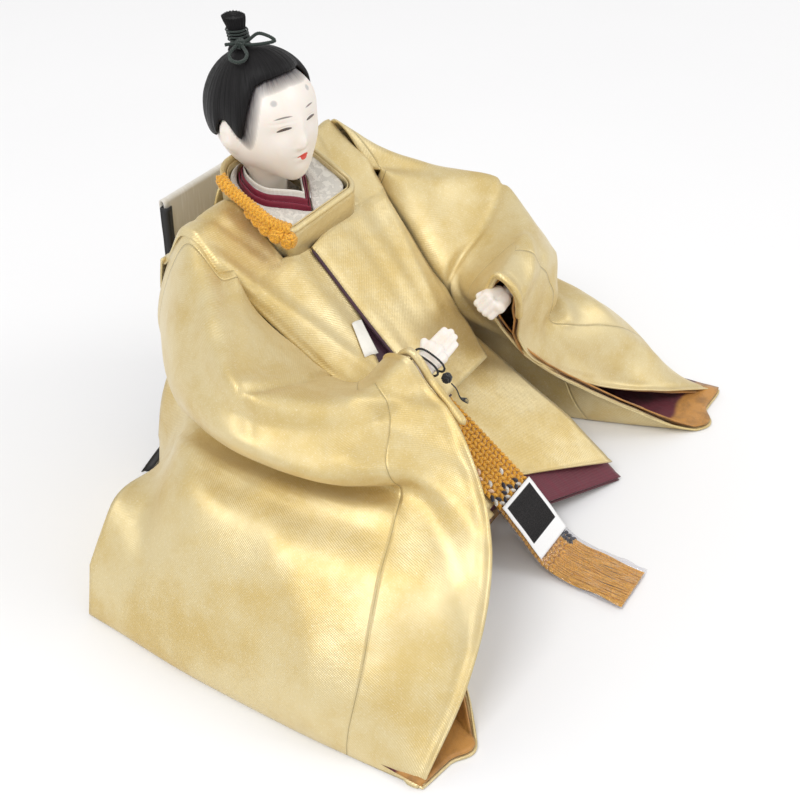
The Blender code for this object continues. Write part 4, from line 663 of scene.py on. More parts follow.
def cloth_piece(
    name, columns, rows, place, material, thickness=None, loop=False, lift=None, flip=False, hole=None,
    marks=None, uv_name="cloth",
):
    """A piece that starts as a bmesh grid; each corner moves to place(column, row).

    lift(column, row, point) raises it off that surface, hole(column, row) leaves a face out, and
    marks is a pair of an attribute's name and its value at (column, row). UVs are metres of cloth.
    """
    points = [[place(c, r) for c in columns] for r in rows]
    across, along = grid_steps(points)
    if lift is not None:
        normals = grid_normals(points, loop)
        sign = -1.0 if flip else 1.0
        points = [
            [
                points[r][c] + normals[r][c] * (sign * lift(columns[c], rows[r], points[r][c]))
                for c in range(len(columns))
            ]
            for r in range(len(rows))
        ]
    work = bmesh.new()
    bmesh.ops.create_grid(work, x_segments=len(columns) - 1, y_segments=len(rows) - 1, size=0.5)
    uv = work.loops.layers.uv.new(uv_name)
    value = work.verts.layers.float.new(marks[0]) if marks else None
    spots = {}
    for vert in work.verts:
        spot = (round((vert.co.x + 0.5) * (len(columns) - 1)), round((vert.co.y + 0.5) * (len(rows) - 1)))
        spots[vert] = spot
    gone = []
    for face in work.faces:
        low = (min(spots[v][0] for v in face.verts), min(spots[v][1] for v in face.verts))
        if hole is not None and hole(*low):
            gone.append(face)
        for corner in face.loops:
            c, r = spots[corner.vert]
            corner[uv].uv = (across[c], along[r]) if uv_name == "cloth" else (columns[c], rows[r])
    for vert, (c, r) in spots.items():
        vert.co = points[r][c]
        if marks:
            vert[value] = marks[1](columns[c], rows[r])
    bmesh.ops.delete(work, geom=gone, context="FACES")
    bmesh.ops.remove_doubles(work, verts=work.verts, dist=1e-6)
    if flip:
        bmesh.ops.reverse_faces(work, faces=work.faces)
    obj = link_piece(name, work, material)
    if thickness:
        wall(obj, thickness)
    return obj


def wall(obj, thickness, offset=-1.0):
    """Gives a cloth its thickness, inwards from the face that shows."""
    solid = obj.modifiers.new("thickness", "SOLIDIFY")
    solid.thickness = thickness
    solid.offset = offset
    solid.use_even_offset = False
    return obj


def strands(name, paths, radius, material, taper=None, resolution=1):
    """Round strands along paths, as one curve piece; taper gives each point's share of radius."""
    curve = bpy.data.curves.new(name, "CURVE")
    curve.dimensions = "3D"
    curve.bevel_depth = radius
    curve.bevel_resolution = resolution
    curve.use_fill_caps = True
    for path in paths:
        spline = curve.splines.new("POLY")
        spline.points.add(len(path) - 1)
        for index, (target, point) in enumerate(zip(spline.points, path)):
            target.co = (*point, 1.0)
            target.radius = taper(index / (len(path) - 1)) if taper else 1.0
        spline.use_smooth = True
    curve.materials.append(material)
    return linked(name, curve)


def wound(path, count, radius, pitch, start=0.0, squash=1.0, direction=1.0, wobble=0.0):
    """Paths that wind round another path, as the strands of a cord do."""
    frames = frames_along(path)
    found = []
    for strand in range(count):
        line, travelled = [], 0.0
        for index, (point, (_, side, other)) in enumerate(zip(path, frames)):
            if index:
                travelled += (point - path[index - 1]).length
            turn = direction * 2.0 * pi * travelled / pitch + 2.0 * pi * strand / count + start
            reach = radius * (1.0 + wobble * cos(count * turn))
            line.append(point + side * (reach * cos(turn)) + other * (reach * squash * sin(turn)))
        found.append(line)
    return found


def stuffed(name, node, material, cuts=3, rounds=6, lump=0.0006, slot="cotton", body="root"):
    """A soft stuffed piece: the solid's own form with its corners rounded off and its sides lumpy."""
    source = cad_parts[node]
    work = bmesh.new()
    work.from_mesh(source.data)
    bmesh.ops.remove_doubles(work, verts=work.verts, dist=1e-6)
    bmesh.ops.dissolve_limit(work, angle_limit=radians(1), verts=work.verts, edges=work.edges)
    bmesh.ops.triangulate(work, faces=work.faces)
    bmesh.ops.subdivide_edges(work, edges=work.edges, cuts=cuts, use_grid_fill=True)
    for _ in range(rounds):
        bmesh.ops.smooth_vert(
            work, verts=work.verts, factor=0.5, use_axis_x=True, use_axis_y=True, use_axis_z=True
        )
    work.normal_update()
    for vert in work.verts:
        vert.co -= vert.normal * (lump * (0.5 + 0.5 * noise(vert.co * 160.0)))
    obj = link_piece(name, work, material)
    dress(obj, body, slot, node)
    return obj


# Sleeves


RIDGE = (
    (0.575, -0.045, 1.372), (0.88, -0.36, 1.28), (1.00, -0.58, 1.21), (0.74, -0.84, 1.12),
    (0.465, -0.945, 1.19),
)
BACK = (
    (0.555, 0.155, 1.485), (0.88, -0.12, 1.22), (1.09, -0.52, 1.12), (0.84, -0.95, 1.035),
    (0.475, -1.065, 1.095),
)
UPPER_ARM = (
    (0.63, 0.315, 1.02), (0.98, -0.10, 0.98), (1.13, -0.52, 0.99), (0.98, -0.98, 0.92),
    (0.535, -1.255, 1.005),
)
VALLEY = (
    (0.76, 0.08, 0.68), (0.90, -0.14, 0.76), (0.92, -0.50, 0.76), (0.86, -1.00, 0.78), (0.735, -1.52, 0.81)
)
SHEET_HIGH = (
    (0.94, 0.11, 0.455), (1.18, -0.22, 0.68), (1.22, -0.60, 0.66), (1.16, -1.12, 0.63), (0.95, -1.66, 0.60)
)
SHEET_LOW = (
    (1.298, 0.08, 0.476), (1.47, -0.30, 0.32), (1.48, -0.75, 0.32), (1.42, -1.25, 0.34), (1.20, -1.71, 0.30)
)
HEM_OUT = ((1.56, 0.06, 0.0), (1.57, -0.46, 0.0), (1.56, -0.90, 0.0), (1.54, -1.30, 0.0), (1.50, -1.70, 0.0))
HEM_IN = ((0.78, 0.36, 0.0), (0.72, -0.10, 0.0), (0.76, -0.55, 0.0), (0.92, -1.15, 0.0), (1.19, -1.77, 0.0))
INNER_LOW = (
    (0.64, 0.32, 0.60), (0.64, -0.20, 0.55), (0.64, -0.60, 0.50), (0.74, -0.98, 0.50), (0.88, -1.40, 0.40)
)
INNER_HIGH = (
    (0.570, -0.110, 1.325), (0.56, -0.28, 1.17), (0.50, -0.54, 0.965), (0.455, -0.70, 0.88),
    (0.44, -0.82, 0.99),
)
RING_TRACKS = (
    RIDGE, BACK, UPPER_ARM, VALLEY, SHEET_HIGH, SHEET_LOW, HEM_OUT, None, HEM_IN, INNER_LOW, INNER_HIGH
)
RING_COUNT = len(RING_TRACKS)
FLOOR_TRACK = 7
STATION_MM = 46.0
TRACK_MM = 28.0
FLOOR_LEVEL = 0.0007

# Folds are lines of (station, track) places, with a height and a width in millimetres
BOTH_FOLDS = (
    (((2.0, 0.0), (2.3, -0.5), (2.2, -1.2)), -1.6, 3.2),
    (((1.9, 0.1), (2.1, 0.7), (2.2, 1.4)), -1.4, 3.4),
    (((0.2, 0.25), (1.0, 0.45), (1.8, 0.15)), 1.2, 6.0),
    (((3.1, 0.2), (3.5, 0.7), (3.9, 1.6)), 1.5, 4.0),
    (((3.3, 0.9), (3.6, 1.7), (3.95, 2.5)), -1.3, 3.5),
    (((3.0, 1.5), (3.4, 2.3), (3.9, 3.3)), 1.4, 4.5),
    (((3.4, 2.8), (3.7, 3.6), (3.95, 4.6)), -1.2, 4.0),
    (((0.4, 2.4), (1.4, 2.5), (2.6, 2.4), (3.2, 2.5)), 2.4, 7.0),
    (((0.0, 3.0), (1.2, 3.0), (2.4, 2.95), (3.2, 2.9)), -4.2, 4.2),
    (((0.0, 3.55), (1.3, 3.5), (2.5, 3.42), (3.2, 3.3)), 2.6, 4.6),
    (((1.2, 3.9), (2.4, 4.1), (3.4, 4.0)), 1.0, 8.0),
    (((0.5, 4.6), (1.5, 5.2), (2.2, 5.6)), -0.8, 8.0),
)
LEFT_FOLDS = (
    (((2.4, 9.6), (3.0, 9.2), (3.7, 8.9)), 3.0, 7.0),
    (((2.6, 9.0), (3.2, 8.6), (3.8, 8.3)), -2.6, 5.0),
    (((2.2, 10.2), (2.8, 9.9), (3.4, 9.8)), -2.4, 4.5),
    (((2.9, 3.9), (3.3, 4.4), (3.5, 5.1)), 1.8, 6.0),
)
RIGHT_FOLDS = (
    (((2.2, 3.6), (2.7, 4.6), (2.8, 5.7)), 0.9, 7.0), (((1.0, 5.0), (2.4, 5.3), (3.6, 5.2)), 0.9, 9.0)
)


# Places of the left sleeve that differ from the tracks, by track and station
LEFT_PLACES = {
    (0, 0): (0.575, -0.045, 1.380), (1, 0): (0.556, 0.150, 1.575),
    (0, 3): (0.72, -0.83, 1.16), (0, 4): (0.345, -0.94, 1.16),
    (1, 3): (0.84, -0.94, 1.08), (1, 4): (0.345, -1.04, 1.11),
    (2, 3): (0.93, -0.96, 0.90), (2, 4): (0.365, -1.04, 0.96),
    (3, 3): (0.87, -0.99, 0.70), (3, 4): (0.53, -1.04, 0.61),
    (4, 3): (1.12, -1.13, 0.60), (4, 4): (0.88, -1.26, 0.30),
    (5, 4): (1.24, -1.53, 0.14), (6, 4): (1.58, -1.72, 0.01), (8, 4): (1.18, -1.76, 0.0),
    (9, 4): (0.60, -1.09, 0.53), (10, 4): (0.335, -0.895, 1.00),
}


def sleeve_tracks(side):
    """The tracks from armhole to mouth; the left sleeve has some places of its own."""
    tracks = [list(track) if track else None for track in RING_TRACKS]
    if side > 0:
        for (index, station), place in LEFT_PLACES.items():
            tracks[index][station] = place
    return tracks


def track_at(track, station):
    return spline_at([Vector(place) for place in track], station)


def sleeve_ring(tracks, station):
    """The ring of track places at one station, with the middle of the floor between the hems."""
    ring = [track_at(track, station) if track else None for track in tracks]
    ring[FLOOR_TRACK] = 0.5 * (ring[FLOOR_TRACK - 1] + ring[FLOOR_TRACK + 1])
    return ring


def sleeve_place(ring, track, side):
    point = spline_at(ring, track, loop=True) * ROBE_UNIT
    return Vector((side * point.x, point.y, max(point.z, FLOOR_LEVEL)))


def line_distance(line, place):
    """Millimetres from a (station, track) place to a fold line."""
    here, *ends = [(station * STATION_MM, track * TRACK_MM) for station, track in (place, *line)]
    return min(segment_distance(start, end, here) for start, end in zip(ends, ends[1:]))


def fold_height(folds, station, track):
    """Height in metres of all the folds at one place of a sleeve."""
    total = 0.0
    for line, height, width in folds:
        for turn in (0.0, -RING_COUNT):
            away = line_distance(line, (station, track + turn))
            if away < 3.0 * width:
                total += height * hump(away, 0.0, width)
    return total * MM


MOUTH_STATION = 4.0
MOUTH_ROWS = (3.70, 3.78, 3.84, 3.88, 3.91, 3.935, 3.955, 3.97, 3.985, 4.0)
REAR_ROWS = (-1.0, -0.75, -0.5, -0.25)
REAR_BULGE = 0.003
ARMHOLE_TRACKS = (2.5, 8.5)
SHOULDER_SEAM = 0.13
PANEL_SEAM = ((1.0, 3.42), (5.5, 3.15))
SLEEVE_COLUMNS = 132
ROLL_AT, ROLL_WIDTH, ROLL_HEIGHT = 0.018, 0.022, 0.00095
STITCH_AT, STITCH_WIDTH, STITCH_DEPTH = 0.085, 0.016, 0.00045


def sleeve_rows():
    return list(REAR_ROWS) + even(0.0, 3.64, 72) + list(MOUTH_ROWS)


def sleeve_piece(name, side, folds, material):
    """The brocade bag: smooth between the solid's own tracks, folded, with a rolled and stitched mouth."""
    rows = sleeve_rows()
    rings, tracks = {}, sleeve_tracks(side)

    def place(track, station):
        if station not in rings:
            rings[station] = sleeve_ring(tracks, max(station, 0.0))
        here = sleeve_place(rings[station], track, side)
        if station >= 0.0:
            return here
        mirror = sleeve_place(rings[station], (RING_COUNT - track) % RING_COUNT, side)
        bulge = Vector((0.0, REAR_BULGE * sin(-0.5 * pi * station), 0.0))
        return here.lerp(0.5 * (here + mirror), -station) + bulge

    def lift(track, station, point):
        if station < 0.0:
            return 0.0
        settle = smooth_step(0.0, 0.010, point.z)
        wrinkle = 0.00055 * noise(point * 70.0) + 0.0011 * noise(point * 24.0)
        edge = MOUTH_STATION - station
        roll = ROLL_HEIGHT * hump(edge, ROLL_AT, ROLL_WIDTH) - STITCH_DEPTH * hump(
            edge, STITCH_AT, STITCH_WIDTH
        )
        calm = smooth_step(0.0, 0.5, station)
        return settle * (calm * (fold_height(folds, station, track) + wrinkle) + roll)

    columns = even(0.0, RING_COUNT, SLEEVE_COLUMNS)

    def hole(c, r):
        return rows[r] < -0.01 and not ARMHOLE_TRACKS[0] <= columns[c] < ARMHOLE_TRACKS[1]

    def from_seam(track, station):
        shoulder = station - SHOULDER_SEAM if track < 3.0 or track > 9.5 else 1.0
        return min(shoulder, interpolate(PANEL_SEAM, track) - station) * STATION_MM * MM

    thickness = robe_settings().brocade_thickness
    return cloth_piece(
        name, columns, rows, place, material, thickness, True, lift, side > 0, hole, ("seam", from_seam)
    )


LINING_GAP = 0.0021


def sleeve_lining_piece(name, side, folds, material):
    """Silk inside the mouth, following the folds of the brocade."""
    rows = even(1.9, 3.75, 26) + [3.8, 3.85, 3.9, 3.95, 3.985]
    tracks = sleeve_tracks(side)
    rings = {station: sleeve_ring(tracks, station) for station in rows}

    def place(track, station):
        return sleeve_place(rings[station], track, side)

    def lift(track, station, point):
        ripple = 0.0004 * noise(point * 150.0)
        return fold_height(folds, station, track) * smooth_step(
            0.0, 0.010, point.z
        ) - LINING_GAP + ripple - 0.0006 * (MOUTH_STATION - station)

    def from_edge(track, station):
        return (MOUTH_STATION - station) * STATION_MM * MM

    columns = even(0.0, RING_COUNT, 66)
    return cloth_piece(
        name, columns, rows, place, material, robe_settings().silk_thickness, True, lift, side > 0, None,
        ("from_edge", from_edge),
    )


CUFF_OUT = ((-0.028, 0.010, 0.0), (-0.026, 0.0, 0.012), (-0.026, -0.010, 0.0), (-0.018, -0.020, 0.0))
CUFF_TRACKS = (10, 0, 1, 2)
CUFF_RADIUS = 0.0019


def tube_piece(name, path, radius, material, columns=20, taper=None, ripple=0.0):
    """A rolled edge or a soft tube along a path, with rounded ends."""
    frames = frames_along(path)
    last = len(path) - 1

    def place(column, row):
        index = min(int(row), last)
        _, side, other = frames[index]
        turn = 2.0 * pi * column
        end = min(index, last - index)
        round_end = sqrt(1.0 - (1.0 - min(end / 2.0, 1.0)) ** 2)
        reach = radius * round_end * (taper(index / last) if taper else 1.0)
        reach *= 1.0 + ripple * sin(3.0 * turn + 9.0 * index / last * pi)
        return path[index] + side * (reach * cos(turn)) + other * (reach * sin(turn))

    return cloth_piece(name, even(0.0, 1.0, columns), list(range(len(path))), place, material, loop=True)


def cuff_piece(name, side, material):
    path, tracks = [], sleeve_tracks(side)
    for index, out in zip(CUFF_TRACKS, CUFF_OUT):
        x, y, z = (a + b for a, b in zip(tracks[index][-1], out))
        path.append(Vector((side * x, y, z)) * ROBE_UNIT)
    return tube_piece(name, smooth_path(path, 14), CUFF_RADIUS, material, ripple=0.05)


# Robe fronts, back and train

CHEST_TOP, CHEST_SLOPE = 1.441, 0.87
FRONT_HEM, STRIP_END = -0.895, -0.20
CROWN, CROWN_HALF, CROWN_Y, CROWN_REACH = 0.038, 0.28, -0.17, 0.25
LEFT_RIDGE, RIGHT_RIDGE = 1.600, 1.510
RIDGE_BACK, BACK_EDGE, BACK_TOP = 0.150, 0.31, 1.30
EDGE_TUCK = 0.032
ARMHOLE = ((FRONT_HEM, 0.36), (-0.53, 0.48), (-0.053, 0.594), (0.155, 0.575), (0.31, 0.56))
LEFT_EDGE = ((FRONT_HEM, -0.105), (-0.195, -0.105), (-0.165, 0.273), (0.32, 0.273))
RIGHT_EDGE = (
    (FRONT_HEM, -0.35), (-0.63, -0.21), (-0.45, -0.10), (-0.40, -0.06), (-0.195, -0.06), (-0.165, -0.273),
    (0.32, -0.273),
)
OPENING = -0.105
UNDERLAP, UNDERLAP_X = 0.021, (-0.24, -0.12)
CHEST_FOLDS = (
    # from place, to place in (x, y) tenths, height and width in millimetres
    ((0.56, -0.05), (0.30, -0.62), 1.5, 4.5),
    ((0.59, -0.10), (0.42, -0.70), -1.6, 3.2),
    ((0.30, -0.10), (0.22, -0.60), 0.9, 6.0),
    ((0.12, -0.30), (0.05, -0.86), 0.5, 6.0),
    ((0.50, 0.25), (0.34, -0.12), -0.7, 3.0),
)


def chest_height(x, y, ridge):
    line = min(CHEST_TOP + CHEST_SLOPE * y, ridge)
    drop = (line - BACK_TOP) * smooth_step(RIDGE_BACK, BACK_EDGE, y)
    return line + CROWN * hump(x, 0.0, CROWN_HALF) * hump(y, CROWN_Y, CROWN_REACH) - drop


def right_height(x, y):
    return chest_height(x, y, RIGHT_RIDGE) - UNDERLAP * smooth_step(*UNDERLAP_X, x)


def chest_lift(x, y):
    """Height of the folds on the chest, in metres."""
    total = 0.0
    for start, end, height, width in CHEST_FOLDS:
        away = segment_distance(start, end, (x, y)) * ROBE_UNIT / MM
        total += height * hump(away, 0.0, width)
    return total * MM


def front_piece(name, side, edge, height, material):
    columns, rows = even(0.0, 1.0, 40), even(FRONT_HEM, BACK_EDGE, 66)

    def place(column, y):
        inner, outer = interpolate(edge, y), side * interpolate(ARMHOLE, y)
        x = inner + (outer - inner) * column
        tuck = EDGE_TUCK * smooth_step(0.91, 1.0, column) * smooth_step(-0.62, -0.50, y)
        return Vector((x, y, height(x, y) - tuck)) * ROBE_UNIT

    def lift(column, y, point):
        x = point.x / ROBE_UNIT
        hem = 0.0004 * hump(y, -0.875, 0.02)
        calm = smooth_step(0.0, 0.10, column)
        return calm * (chest_lift(abs(x), y) + 0.0005 * noise(point * 45.0)) + hem

    return cloth_piece(
        name, columns, rows, place, material, robe_settings().brocade_thickness, False, lift, side < 0
    )


STRIP_X = (-0.120, -0.109)


def edge_piping(material):
    """Dark piping rolled along the left front's edge."""
    path = []
    for y in even(FRONT_HEM, STRIP_END, 40):
        path.append(Vector((sum(STRIP_X) / 2.0, y, chest_height(OPENING, y, LEFT_RIDGE) - 0.006)) * ROBE_UNIT)
    return tube_piece("front_piping", path, 0.00078, material, 12)


FACING_X, FACING_Y, FACING_DEPTH = (-0.40, 0.04), (-0.885, -0.42), 0.043


def facing_piece(material):
    def place(x, y):
        return Vector((x, y, chest_height(x, y, LEFT_RIDGE) - FACING_DEPTH)) * ROBE_UNIT

    def lift(x, y, point):
        return 0.0004 * noise(point * 60.0) + 0.0004 * hump(x, -0.22, 0.03)

    columns, rows = even(*FACING_X, 22), even(*FACING_Y, 24)
    return cloth_piece(
        "facing_silk", columns, rows, place, material, robe_settings().silk_thickness, False, lift
    )


PAPER_CORNERS = ((-0.276, -0.605), (-0.206, -0.487), (-0.209, -0.620), (-0.153, -0.489))
PAPER_RISE = 0.0195
PAPER_LEAVES = 3
LEAF_STEP = 0.0034


def paper_leaf(index, material):
    """One leaf of the tucked paper, stepped back a little from the one above."""
    low_left, high_left, low_right, high_right = (Vector(corner) for corner in PAPER_CORNERS)

    def place(across, along):
        left, right = low_left.lerp(high_left, along), low_right.lerp(high_right, along)
        spot = left.lerp(right, across)
        bow = 0.004 * sin(pi * across)
        return Vector(
            (
                spot.x + 0.010 * index, spot.y,
                right_height(spot.x, spot.y) + PAPER_RISE + bow - LEAF_STEP * index,
            )
        ) * ROBE_UNIT

    return cloth_piece(
        f"paper_leaf_{index + 1}", even(0.0, 1.0, 8), even(0.0, 1.0, 8), place, material, 0.00022
    )


BACK_Y = ((0.0, 0.40), (0.3, 0.37), (0.6, 0.35), (0.9, 0.34), (1.15, 0.330), (1.30, 0.308), (1.5, 0.300))
BACK_HALF = ((0.0, 0.64), (0.3, 0.62), (0.6, 0.60), (0.9, 0.58), (1.2, 0.57), (1.5, 0.56))
NAPE_HALF, NAPE_RISE = (0.24, 0.44), 0.18


def back_piece(material):
    def place(x, part):
        z = part * (BACK_TOP + NAPE_RISE * smooth_step(*reversed(NAPE_HALF), abs(x)))
        return Vector((x * interpolate(BACK_HALF, z), interpolate(BACK_Y, z), z)) * ROBE_UNIT

    def lift(x, part, point):
        z = point.z / ROBE_UNIT
        seam = -0.0007 * hump(x, 0.0, 0.012)
        gathers = 0.0009 * sin(9.0 * x) * smooth_step(1.2, 0.2, z) * smooth_step(0.55, 0.75, abs(x))
        return seam + gathers + 0.0005 * noise(point * 50.0)

    columns, rows = even(-1.0, 1.0, 64), even(0.005, 1.0, 60)
    return cloth_piece(
        "robe_back_cloth", columns, rows, place, material, robe_settings().brocade_thickness, False, lift,
        True,
    )


TRAIN_HALF = ((0.0, 0.68), (0.12, 0.50), (0.30, 0.36), (1.44, 0.33))
TRAIN_Y = ((0.0, 0.515), (0.12, 0.485), (0.25, 0.475), (1.44, 0.475))
TRAIN_REAR = ((0.0, 0.024), (0.9, 0.018), (1.30, 0.026), (1.44, 0.020))
TRAIN_THICK = 0.012
TRAIN_ROLL, TRAIN_TOP = 0.019, 1.415


def train_wave(x, z):
    return 0.0007 * sin(5.0 * x + 3.0 * z) * smooth_step(1.3, 0.3, z)


def train_face_piece(material):
    def place(x, z):
        half = interpolate(TRAIN_HALF, z)
        turn = min(max((z - TRAIN_TOP) / TRAIN_ROLL, 0.0), pi)
        over = max(z - TRAIN_TOP - pi * TRAIN_ROLL, 0.0)
        back, rise = TRAIN_ROLL * (1.0 - cos(turn)), TRAIN_ROLL * sin(turn) - over
        return Vector((x * half, interpolate(TRAIN_Y, z) + back, min(z, TRAIN_TOP) + rise)) * ROBE_UNIT

    def lift(x, z, point):
        return 0.5 * train_wave(point.x * 30.0, z) - 0.0004 * hump(abs(x), 0.90, 0.02)

    columns, rows = even(-1.0, 1.0, 32), even(0.004, 1.38, 56)[:-1] + even(1.38, 1.53, 20)
    return cloth_piece("train_face_cloth", columns, rows, place, material, 0.0009, False, lift)


def train_lining_piece(material):
    """Black silk behind the train, folded forward round both of its edges."""

    def place(column, z):
        half, y = interpolate(TRAIN_HALF, z), interpolate(TRAIN_Y, z)
        rear, front, edge = y + interpolate(TRAIN_REAR, z), y - TRAIN_THICK, half + 0.014
        outline = [
            (-half + 0.030, front - 0.002), (-half, front - 0.004), (-edge, 0.5 * (front + rear)),
            (-half, rear), (-0.5 * half, rear), (0.0, rear),
        ]
        outline += [(-x, depth) for x, depth in outline[-2::-1]]
        return spline_at([Vector((*pair, z)) for pair in outline], column) * ROBE_UNIT

    def lift(column, z, point):
        return 0.0003 * noise(point * 60.0)

    columns, rows = even(0.0, 10.0, 70), even(0.004, 1.400, 60)
    return cloth_piece("train_lining_silk", columns, rows, place, material, 0.0006, False, lift, True)


# Skirts, sash and film

LAP_TOP, LAP_SLOPE = 1.19, 0.70
SKIRT_TOP = -0.62
DROOP_Y = (1.18, 1.42)
SHORT_HEM = 0.02
SASH_SIDES = (-0.0210, 0.0055)


def lap_height(y):
    return LAP_TOP + LAP_SLOPE * y


def skirt_piece(name, halves, notch, at_notch, hem, depth, thickness, droop, material, leaf=0.0):
    """A skirt on the lap, cut back under the sash, with a turned hem."""
    low, high = notch
    at_zero, slope = hem
    columns = sorted(even(-halves[1], low, 22)[:-1] + even(low, high, 10) + even(high, halves[1], 24)[1:])
    rows = even(0.0, 1.0, 30) + even(1.0, 2.0, 20)[1:]

    def place(x, row):
        upper, lower = min(row, 1.0), max(row - 1.0, 0.0)
        end = at_zero - slope * abs(x) if x > low else at_notch - SHORT_HEM
        y = SKIRT_TOP + (at_notch - SKIRT_TOP) * upper + (end - at_notch) * lower
        part = (SKIRT_TOP - y) / (SKIRT_TOP - at_notch)
        narrow = (halves[0] + (halves[1] - halves[0]) * min(part, 1.0)) / halves[1]
        fall = droop * smooth_step(*DROOP_Y, -y)
        return Vector((x * narrow, y, lap_height(y) - depth - fall)) * ROBE_UNIT

    def lift(x, row, point):
        turned = 0.0003 * hump(row, 1.985, 0.02) - 0.0002 * hump(row, 1.90, 0.015)
        leaf_wave = -leaf * smooth_step(1.0, 2.0, row) * (
            0.5 + 0.5 * cos(abs(x) / halves[1] * pi * 1.2)
        )
        return 0.00035 * noise(point * 40.0) + turned + leaf_wave

    def hole(c, r):
        return rows[r] >= 0.999 and low - 1e-6 <= columns[c] < high - 1e-6

    return cloth_piece(name, columns, rows, place, material, thickness, False, lift, True, hole)


SASH_TOP, SASH_EDGE, SASH_LIFT = -0.0855, -0.1275, 0.0004
SASH_DROP = ((-0.136, 0.0225), (-0.142, 0.0168), (-0.149, 0.0095), (-0.155, 0.0048))
FRINGE_LINE = ((-0.165, 0.0018), (-0.180, 0.0012), (-0.1965, 0.0012))
SASH_THICKNESS = 0.0022
SASH_END_Y = -0.1600


def sash_line():
    """Underside of the sash and its fringe as a dense line of (y, z) places with their normals."""
    lap = [
        (y, lap_height(y / ROBE_UNIT) * ROBE_UNIT + SASH_LIFT)
        for y in (SASH_TOP, 0.5 * (SASH_TOP + SASH_EDGE), SASH_EDGE)
    ]
    dense = smooth_path([Vector(pair) for pair in tuple(lap) + SASH_DROP + FRINGE_LINE], 12)
    places, travelled = [], 0.0
    for index, point in enumerate(dense):
        tangent = (dense[min(index + 1, len(dense) - 1)] - dense[max(index - 1, 0)]).normalized()
        if index:
            travelled += (point - dense[index - 1]).length
        places.append((travelled, point, Vector((tangent.y, -tangent.x)) * -1.0))
    return places


def on_sash(places, x, along, height):
    """A point over the sash's underside, and its up direction."""
    for (start, a, normal_a), (end, b, normal_b) in zip(places, places[1:]):
        if along <= end:
            break
    part = min(max((along - start) / (end - start), 0.0), 1.0)
    normal = normal_a.lerp(normal_b, part).normalized()
    if normal.y < 0:
        normal = -normal
    spot = a.lerp(b, part) + normal * height
    return Vector((x, spot.x, spot.y)), Vector((0.0, normal.x, normal.y))


def length_at(places, y):
    """How far along the sash a place along y is."""
    for travelled, point, _ in places:
        if point.x <= y:
            return travelled
    return places[-1][0]


STITCH_SLANT = radians(40.0)
STITCH_TAPER = ((0.0, 0.35), (0.18, 0.90), (0.5, 1.0), (0.82, 0.90), (1.0, 0.35))


def stitch_kind(column, row, label_row, columns):
    """Orange stitches, a pale run along one side, then navy and white chevrons near the label."""
    until_label = label_row - row
    chevron = (row + abs(column % 4 - 2)) % 5
    near_label = 1 <= until_label < 6 and column < columns * 0.75
    if near_label and chevron == 0 or until_label < 1 and column > columns - 3:
        return "navy"
    if near_label and chevron == 1:
        return "white"
    if 0 < column < 3 and until_label >= 4 and (row + column) % 3 == 0:
        return "rose"
    return "orange"


def sash_stitches(places):
    """Paths of the slanted stitches in columns, sorted by their colour."""
    trim = trim_settings()
    columns, step = trim.plait_columns, trim.plait_step
    width = (SASH_SIDES[1] - SASH_SIDES[0]) / columns
    label_row = int(length_at(places, -0.1300) / step)
    found = {"orange": [], "rose": [], "navy": [], "white": []}
    for row in range(int(length_at(places, SASH_END_Y) / step)):
        for column in range(columns):
            slant = STITCH_SLANT if column % 2 else -STITCH_SLANT
            x, along = SASH_SIDES[0] + (column + 0.5) * width, (row + 0.5) * step
            line = []
            for part in (-1.0, -0.5, 0.0, 0.5, 1.0):
                away = part * step * 0.66
                height = SASH_THICKNESS * (0.62 - 0.14 * part * part)
                point, _ = on_sash(places, x + away * sin(slant), along + away * cos(slant), height)
                line.append(point)
            found[stitch_kind(column, row, label_row, columns)].append(line)
    return found


def strap_piece(name, places, start, end, low, high, inset, material, steps=60):
    """A flat strap that follows the sash's line, as a closed skin."""
    left, right = SASH_SIDES[0] + inset, SASH_SIDES[1] - inset
    outline = ((left, low), (right, low), (right, high), (left, high))

    def place(column, along):
        x, height = outline[int(column) % len(outline)]
        return on_sash(places, x, along, height)[0]

    return cloth_piece(name, [0.0, 1.0, 2.0, 3.0, 4.0], even(start, end, steps), place, material, None, True)


FRINGE_STRANDS = 58


def fringe_strands(places, material):
    """Loose silk strands from the end of the sash, lying on each other."""
    start, end = length_at(places, -0.1580), places[-1][0] - 0.0006
    width = SASH_SIDES[1] - SASH_SIDES[0] - 0.0016
    paths = []
    for strand in range(FRINGE_STRANDS):
        part = (strand + 0.5) / FRINGE_STRANDS
        layer = (strand % 3) * 0.00055
        line = []
        for step in range(17):
            t = step / 16
            wander = 0.0016 * noise(Vector((strand * 0.37, t * 2.3, 0.0))) * smooth_step(0.0, 0.4, t)
            x = SASH_SIDES[0] + 0.0008 + width * part + wander
            height = 0.00050 + layer + 0.00025 * noise(Vector((strand * 0.9, t * 3.0, 5.0)))
            line.append(on_sash(places, x, start + (end - start) * t, height)[0])
        paths.append(line)
    return strands("fringe_silk", paths, 0.00042, material)


FILM_ROOM, FILM_WALL, FILM_SQUARE = 0.0003, 0.0003, 0.16


